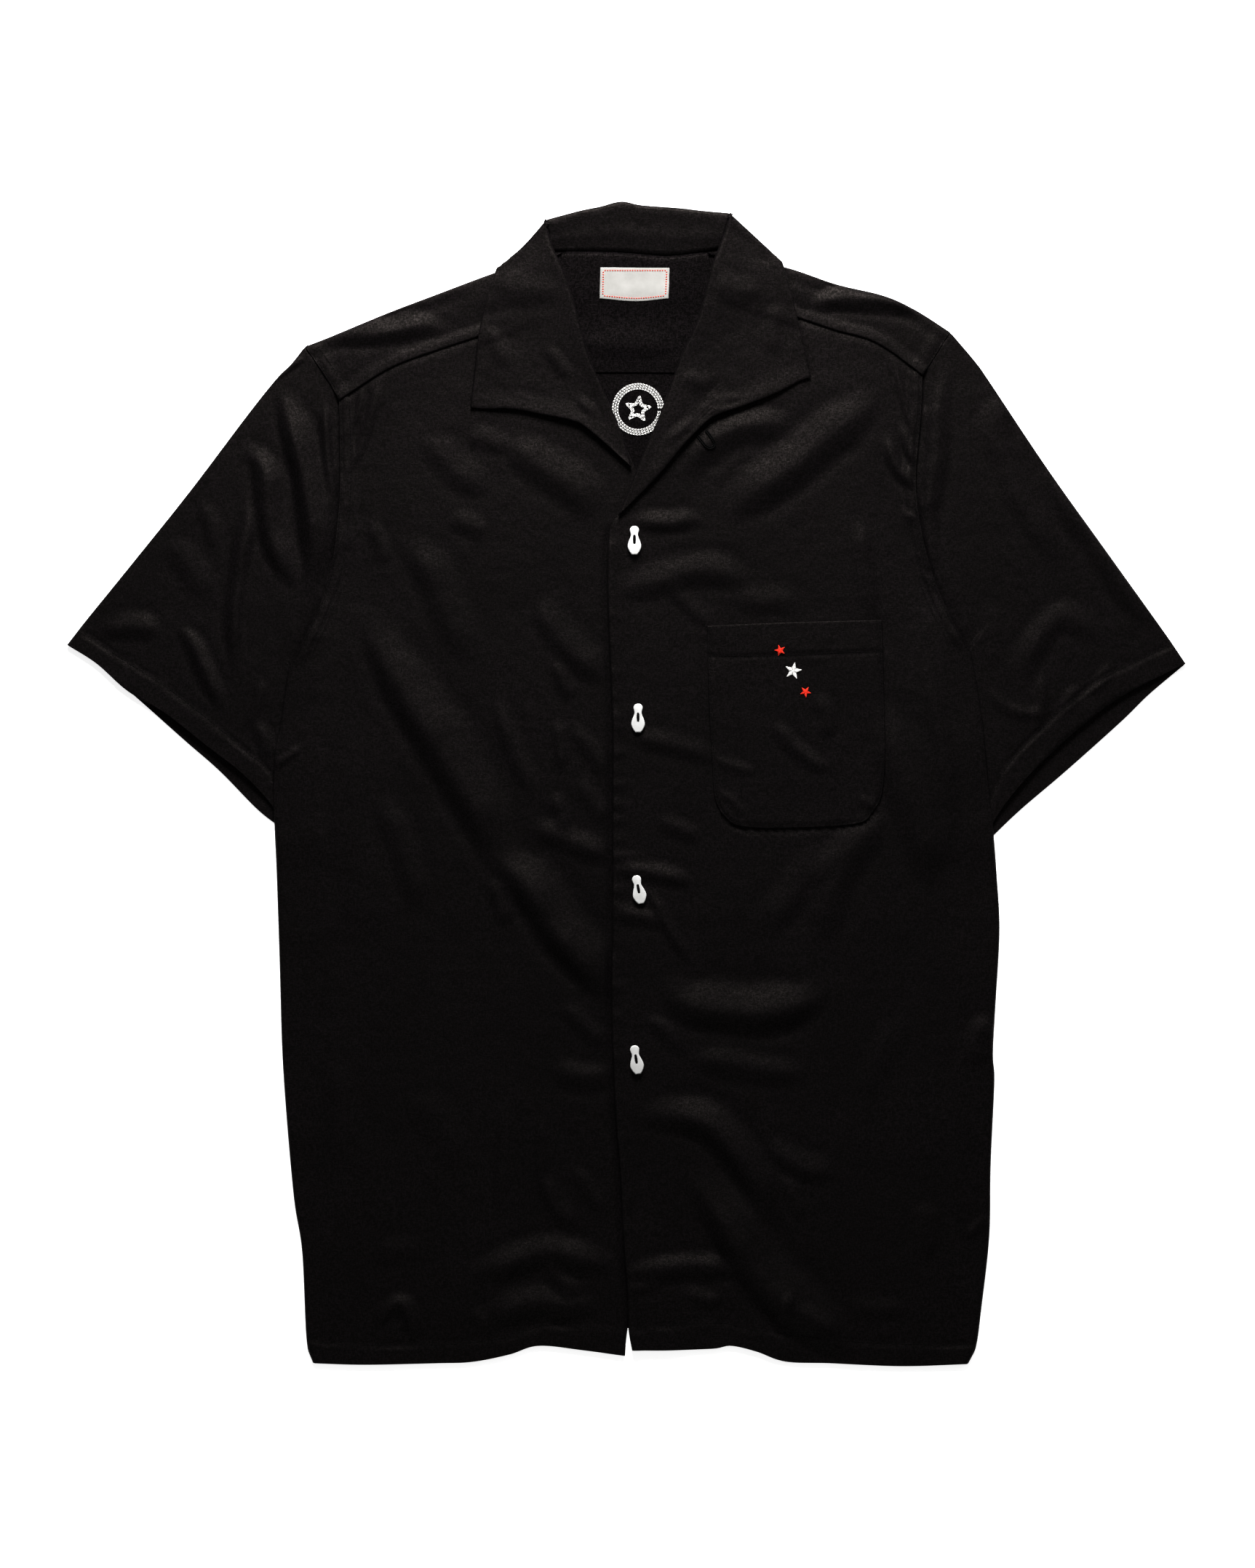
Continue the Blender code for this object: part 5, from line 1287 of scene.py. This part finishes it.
def make_label(look, yoke_face):
    plan = patch_plan(LABEL, 1.2, (0.3, 0.8))
    edge = joined(through(LABEL["inner"], 20), through(LABEL["bottom"], 30), through(LABEL["outer"][::-1], 20))
    from_edge, from_top = off(plan, edge), off(plan, through(LABEL["top"], 20))
    high = yoke_face.heights(plan) + 0.75 + 0.22 * ripple(plan, 14, seed=111) + 0.25 * eased(8, 20, from_top)
    high = high - 0.22 * (1 - curl(0.9, np.minimum(from_edge, from_top)))
    return cloth_piece("label_woven", raised(plan, high), look, (3, 3), 0.45)


# ---------------------------------------------------------------- buttons


def pin_outline(count):
    foot_to_middle = PIN[-1][0] / 2
    right = [(width, height - foot_to_middle) for height, width in through(PIN, count)]
    return right + [(-x, y) for x, y in right[::-1]]


def drill_hole(obj, y):
    """Bores through a button at that height. The drill goes once the hole is in the mesh."""
    drill = bmesh.new()
    bmesh.ops.create_cone(drill, cap_ends=True, segments=20, radius1=HOLE_RADIUS * MM, radius2=HOLE_RADIUS * MM,
                          depth=3 * BUTTON_THICK * MM)
    bmesh.ops.translate(drill, verts=drill.verts, vec=(0, y * MM, 0))
    cut = obj.modifiers.new("hole", "BOOLEAN")
    cut.object = placed("drill", mesh_of("drill", drill))
    cut.solver = "EXACT"
    return cut.object


def make_button(number, button, look):
    """A button in place, and the height of its upper face."""
    name = f"button_{number}"
    low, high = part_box(name)
    middle = (low.z + high.z) / 2
    body = bmesh.new()
    flat = body.faces.new([body.verts.new((x * MM, y * MM, -BUTTON_THICK / 2 * MM)) for x, y in pin_outline(30)])
    grown = bmesh.ops.extrude_face_region(body, geom=[flat])["geom"]
    top = [part for part in grown if isinstance(part, bmesh.types.BMVert)]
    bmesh.ops.translate(body, verts=top, vec=(0, 0, BUTTON_THICK * MM))
    bmesh.ops.recalc_face_normals(body, faces=body.faces[:])
    obj = shown(name + "_pin", mesh_of(name + "_pin", body), look)
    bevel = obj.modifiers.new("rounded rim", "BEVEL")
    bevel.width = RIM * MM
    bevel.segments = 4
    bevel.limit_method = "ANGLE"
    bevel.angle_limit = math.radians(60)
    drills = [drill_hole(obj, HOLES_ABOVE_MIDDLE + sign * HOLE_SPACING / 2) for sign in (-1, 1)]
    bpy.context.view_layer.update()
    finished = bpy.data.meshes.new_from_object(obj.evaluated_get(bpy.context.evaluated_depsgraph_get()))
    obj.modifiers.clear()
    for drill in drills:
        bpy.data.objects.remove(drill, do_unlink=True)
    turned = Matrix.Rotation(math.radians(button.lean), 4, "Z")
    finished.transform(Matrix.Translation(Vector((button.x, button.y, 0)) * MM + Vector((0, 0, middle))) @ turned)
    obj.data = finished
    smooth_by_angle(finished, 35)
    hang(obj, "button_plastic", name)
    return middle / MM + BUTTON_THICK / 2


def smooth_by_angle(mesh, degrees):
    body = bmesh.new()
    body.from_mesh(mesh)
    for edge in body.edges:
        edge.smooth = len(edge.link_faces) != 2 or edge.calc_face_angle() < math.radians(degrees)
    for quad in body.faces:
        quad.smooth = True
    body.to_mesh(mesh)
    body.free()


# ---------------------------------------------------------------- sewing and embroidery


def one_thread(body, middle, direction, normal, length, radius, segments=6, rings=4):
    forward = direction.normalized()
    sideways = normal.cross(forward).normalized()
    turned = Matrix((sideways, forward.cross(sideways), forward)).transposed().to_4x4()
    size = Matrix.Diagonal((radius * MM, radius * MM, length / 2 * MM, 1))
    place = Matrix.Translation(middle * MM) @ turned @ size
    bmesh.ops.create_uvsphere(body, u_segments=segments, v_segments=rings, radius=1, matrix=place)


def steps_along(pairs, pitch, back, on):
    """For each stitch of a line of (place, normal) pairs: how far along each pair is, the stitch's number, and the
    points `back` and `on` from its start."""
    places = np.array([spot for spot, _ in pairs], float)
    run = run_along(places)
    for k in range(int(run[-1] / pitch)):
        ends = (Vector([np.interp(k * pitch + d, run, places[:, axis]) for axis in range(3)]) for d in (back, on))
        yield run, k, *ends


def stitches(body, pairs, pitch, length, radius):
    """Short threads laid along a line of (place, normal) pairs, which are in millimetres."""
    for run, k, start, end in steps_along(pairs, pitch, 0.5 * pitch - 0.4, 0.5 * pitch + 0.4):
        nearest = min(len(pairs) - 1, int(np.interp((k + 0.5) * pitch, run, np.arange(len(pairs)))))
        one_thread(body, (start + end) / 2, end - start, pairs[nearest][1], length, radius)


def topstitch(face, line, inset, pitch=2.5):
    """The stitches of one row, `inset` from a line."""
    pairs = face.line(aside(through(line, 120), inset), 0.02)
    return lambda body: stitches(body, pairs, pitch, pitch * 0.8, TOPSTITCH)


def chain(face, line, link):
    """Chain stitches: pairs of short threads that open and close along a line."""
    pairs = face.line(line, 0.25)

    def draw(body):
        for _, _, start, end in steps_along(pairs, link, 0.0, 1.15 * link):
            direction = (end - start).normalized()
            aslant = UP.cross(direction).normalized()
            for sign in (-1, 1):
                middle = (start + end) / 2 + aslant * 0.34 * sign + UP * 0.1
                one_thread(body, middle, direction + aslant * 0.16 * sign, UP, link * 1.1, CHAIN_STITCH)
    return draw


def star_points(star):
    """The tips of a star and its notches, each of which follows the tip of its number."""
    fifth = 2 * math.pi / 5
    return [[(star.x + reach * math.sin(star.lean + (k + shift) * fifth),
              star.y + reach * math.cos(star.lean + (k + shift) * fifth)) for k in range(5)]
            for reach, shift in ((star.size, 0), (0.42 * star.size, 0.5))]


def satin_star(face, star, pitch=0.42):
    """A star filled with satin stitches, each arm worked across its own length."""
    tips, notches = star_points(star)
    middle = np.array((star.x, star.y))

    def draw(body):
        for k in range(5):
            tip, left, right = np.array(tips[k]), np.array(notches[k - 1]), np.array(notches[k])
            reach = np.linalg.norm(tip - middle)
            direction = (tip - middle) / reach
            notch = np.dot((left + right) / 2 - middle, direction)
            half = np.linalg.norm(left - right) / 2
            for step in np.arange(0.25, reach - 0.15, pitch):
                width = half * step / notch if step < notch else half * (reach - step) / (reach - notch)
                found = face.at(*(middle + direction * step))
                if found and width > 0.15:
                    place = found[0] + UP * (0.28 + 0.2 * (1 - step / reach))
                    across = Vector((-direction[1], direction[0], 0))
                    one_thread(body, place, across, UP, 2 * width + 0.25, SATIN_STITCH, rings=6)
    return draw


def ring_line(x, y, radius):
    turns = np.linspace(0, 2 * math.pi, 90)
    return np.stack([x + radius * np.cos(turns), y + radius * np.sin(turns)], axis=1)


def star_line(star):
    tips, notches = star_points(star)
    corners = np.array([spot for pair in zip(tips, notches) for spot in pair] + [tips[0]])
    return np.vstack([np.linspace(a, b, 12)[:-1] for a, b in zip(corners, corners[1:])])


def button_threads(tops):
    """Three threads over each button, from hole to hole."""
    def draw(body):
        for button, top in zip(BUTTONS, tops):
            lean = math.radians(button.lean)
            up = Vector((-math.sin(lean), math.cos(lean), 0))
            middle = Vector((button.x, button.y, top + 0.02)) + up * HOLES_ABOVE_MIDDLE
            for offset in (-0.42, 0.0, 0.42):
                spot = middle + Vector((up.y, -up.x, 0)) * offset
                one_thread(body, spot, up, UP, HOLE_SPACING + 1.7, BUTTON_THREAD, 8, 6)
    return draw


def loop_strands(face):
    """The two strands of the neck loop."""
    def draw(body):
        for offset in (-0.55, 0.55):
            strand = face.line(aside(through(LOOP_ROUTE, 40), offset), 0.75)
            stitches(body, strand, 0.9, 2.0, LOOP_STRAND)
    return draw


def label_dots(face):
    """A dotted border, well inside the label's edge."""
    inset = 2.2

    def draw(body):
        for edge, push in (("top", -inset), ("inner", inset), ("outer", -inset), ("bottom", inset)):
            count = round(length_of(LABEL[edge]) / 1.7)
            row = aside(through(LABEL[edge], count + 1), push)
            for spot, normal in face.line(row[2:-2], 0.04):
                one_thread(body, spot, Vector((1, 0, 0)), normal, 1.0, LABEL_STITCH)
    return draw


def sewn(name, look, *rows, slot="cloth", stands_for=()):
    """A piece made of threads. Each row draws its own into it."""
    body = bmesh.new()
    for draw in rows:
        draw(body)
    hang(shown(name, mesh_of(name, body), look), slot, *stands_for)


# ---------------------------------------------------------------- everything together

weave = black_weave("black_weave_body")
weave_inside = black_weave("black_weave_inside", shine=0.45)
sleeve_weaves = {
    "right": black_weave("black_weave_right_sleeve", math.radians(-38)),
    "left": black_weave("black_weave_left_sleeve", math.radians(36)),
}
weave_collar = black_weave("black_weave_collar", math.radians(8))
thread_black = yarn("sewing_thread_black", (0.0064, 0.006, 0.006))
thread_white = yarn("embroidery_white", (0.90, 0.89, 0.87), 0.5, 0.25, 0.06)
thread_red = yarn("embroidery_red", (0.95, 0.10, 0.055), 0.48, 0.15, 0.12)
plastic = moulded_white("button_plastic_white")
label_cloth = woven_white("label_cloth_white")

ground = Ground()
back = hang(make_back(weave_inside), "cloth", "back")
sleeves = {side: make_sleeve(side, sleeve_weaves[side], ground) for side in SIDES}
for side in SIDES:
    hang(sleeves[side], "cloth", f"sleeve_{side}")

fronts, front_faces = {}, {}
for side in SIDES:
    grid = front_grid(side, ground)
    fronts[side] = hang(cloth_piece(f"front_{side}_panel", grid, weave, (10, 10)), "cloth", f"front_{side}")
    ground.lay(grid)
    front_faces[side] = Surface(fronts[side])

yoke = hang(make_yoke(weave, weave_inside, ground), "cloth", "yoke")
yoke_face = Surface(yoke)
collar = hang(make_collar(weave_collar, ground), "cloth", "collar")
pocket = hang(make_pocket(weave, front_faces["left"]), "cloth", "pocket")
pocket_face = Surface(pocket)
label = hang(make_label(label_cloth, yoke_face), "label_cloth", "label")

tops = [make_button(number, button, plastic) for number, button in enumerate(BUTTONS, 1)]
sewn("button_threads", thread_black, button_threads(tops))
sewn("neck_loop_cord", thread_black, loop_strands(front_faces["left"]), stands_for=["neck_loop"])
for side, out in SIDES.items():
    lines, face = OUTLINE[side], front_faces[side]
    sewn(f"stitching_front_{side}", thread_black,
         *(topstitch(face, lines["armhole"], -out * row) for row in SEAM_ROWS),
         topstitch(face, lines["hem_stitch"], 0.0),
         *(topstitch(yoke_face, lines["yoke_end"], -out * row) for row in SEAM_ROWS))
    sewn(f"stitching_sleeve_{side}", thread_black, topstitch(Surface(sleeves[side]), lines["cuff_stitch"], 0.0))
sewn("stitching_pocket", thread_black,
     topstitch(pocket_face, aside(pocket_edge(), 1.5), 0.0, 2.2), topstitch(pocket_face, POCKET_HEM, 0.0, 2.2))
sewn("pocket_star_white", thread_white, satin_star(pocket_face, WHITE_STAR))
sewn("pocket_stars_red", thread_red, *(satin_star(pocket_face, star) for star in RED_STARS))
ringed = BACK_STARS[0]
art_lines = [star_line(star) for star in BACK_STARS]
art_lines += [ring_line(ringed.x, ringed.y, radius) for radius in BACK_RINGS]
inside = Surface(back)
sewn("back_chain_stitch", thread_white, *(chain(inside, line, 2.0) for line in art_lines))
sewn("label_border", thread_red, label_dots(Surface(label)), slot="label_cloth")

# ---------------------------------------------------------------- floor, light and camera


def make_floor():
    body = bmesh.new()
    bmesh.ops.create_grid(body, x_segments=8, y_segments=8, size=6.0)
    shown("floor", mesh_of("floor", body), plain_floor("pale_floor"))


def area_light(name, place, aim, size, watts):
    data = bpy.data.lights.new(name, "AREA")
    data.shape = "DISK"
    data.size = size
    data.energy = watts
    obj = placed(name, data)
    obj.location = place
    obj.rotation_euler = (Vector(aim) - Vector(place)).to_track_quat("-Z", "Y").to_euler()


make_floor()
area_light("key", (0.0, 1.25, 0.75), (0, 0.05, 0), 0.6, 37)
area_light("side", (2.4, 1.3, 1.3), (0, 0, 0), 0.8, 6.3)
area_light("fill", (-0.3, -1.5, 1.1), (0, 0, 0), 1.0, 3.2)

studio = bpy.context.scene
studio.world = bpy.data.worlds.new("studio")
studio.world.use_nodes = True
surroundings = studio.world.node_tree.nodes["Background"].inputs
surroundings["Color"].default_value = WHITE
surroundings["Strength"].default_value = 0.165
studio.view_settings.view_transform = "Standard"
studio.view_settings.gamma = 0.65

lens = bpy.data.cameras.new("camera")
lens.sensor_fit = "VERTICAL"
lens.sensor_width = lens.sensor_height = 36
lens.lens = 85
lens.clip_start = 0.05
lens.clip_end = 30
studio.camera = placed("camera", lens)
studio.camera.location = (0.00075, 0.00025, 2.548)
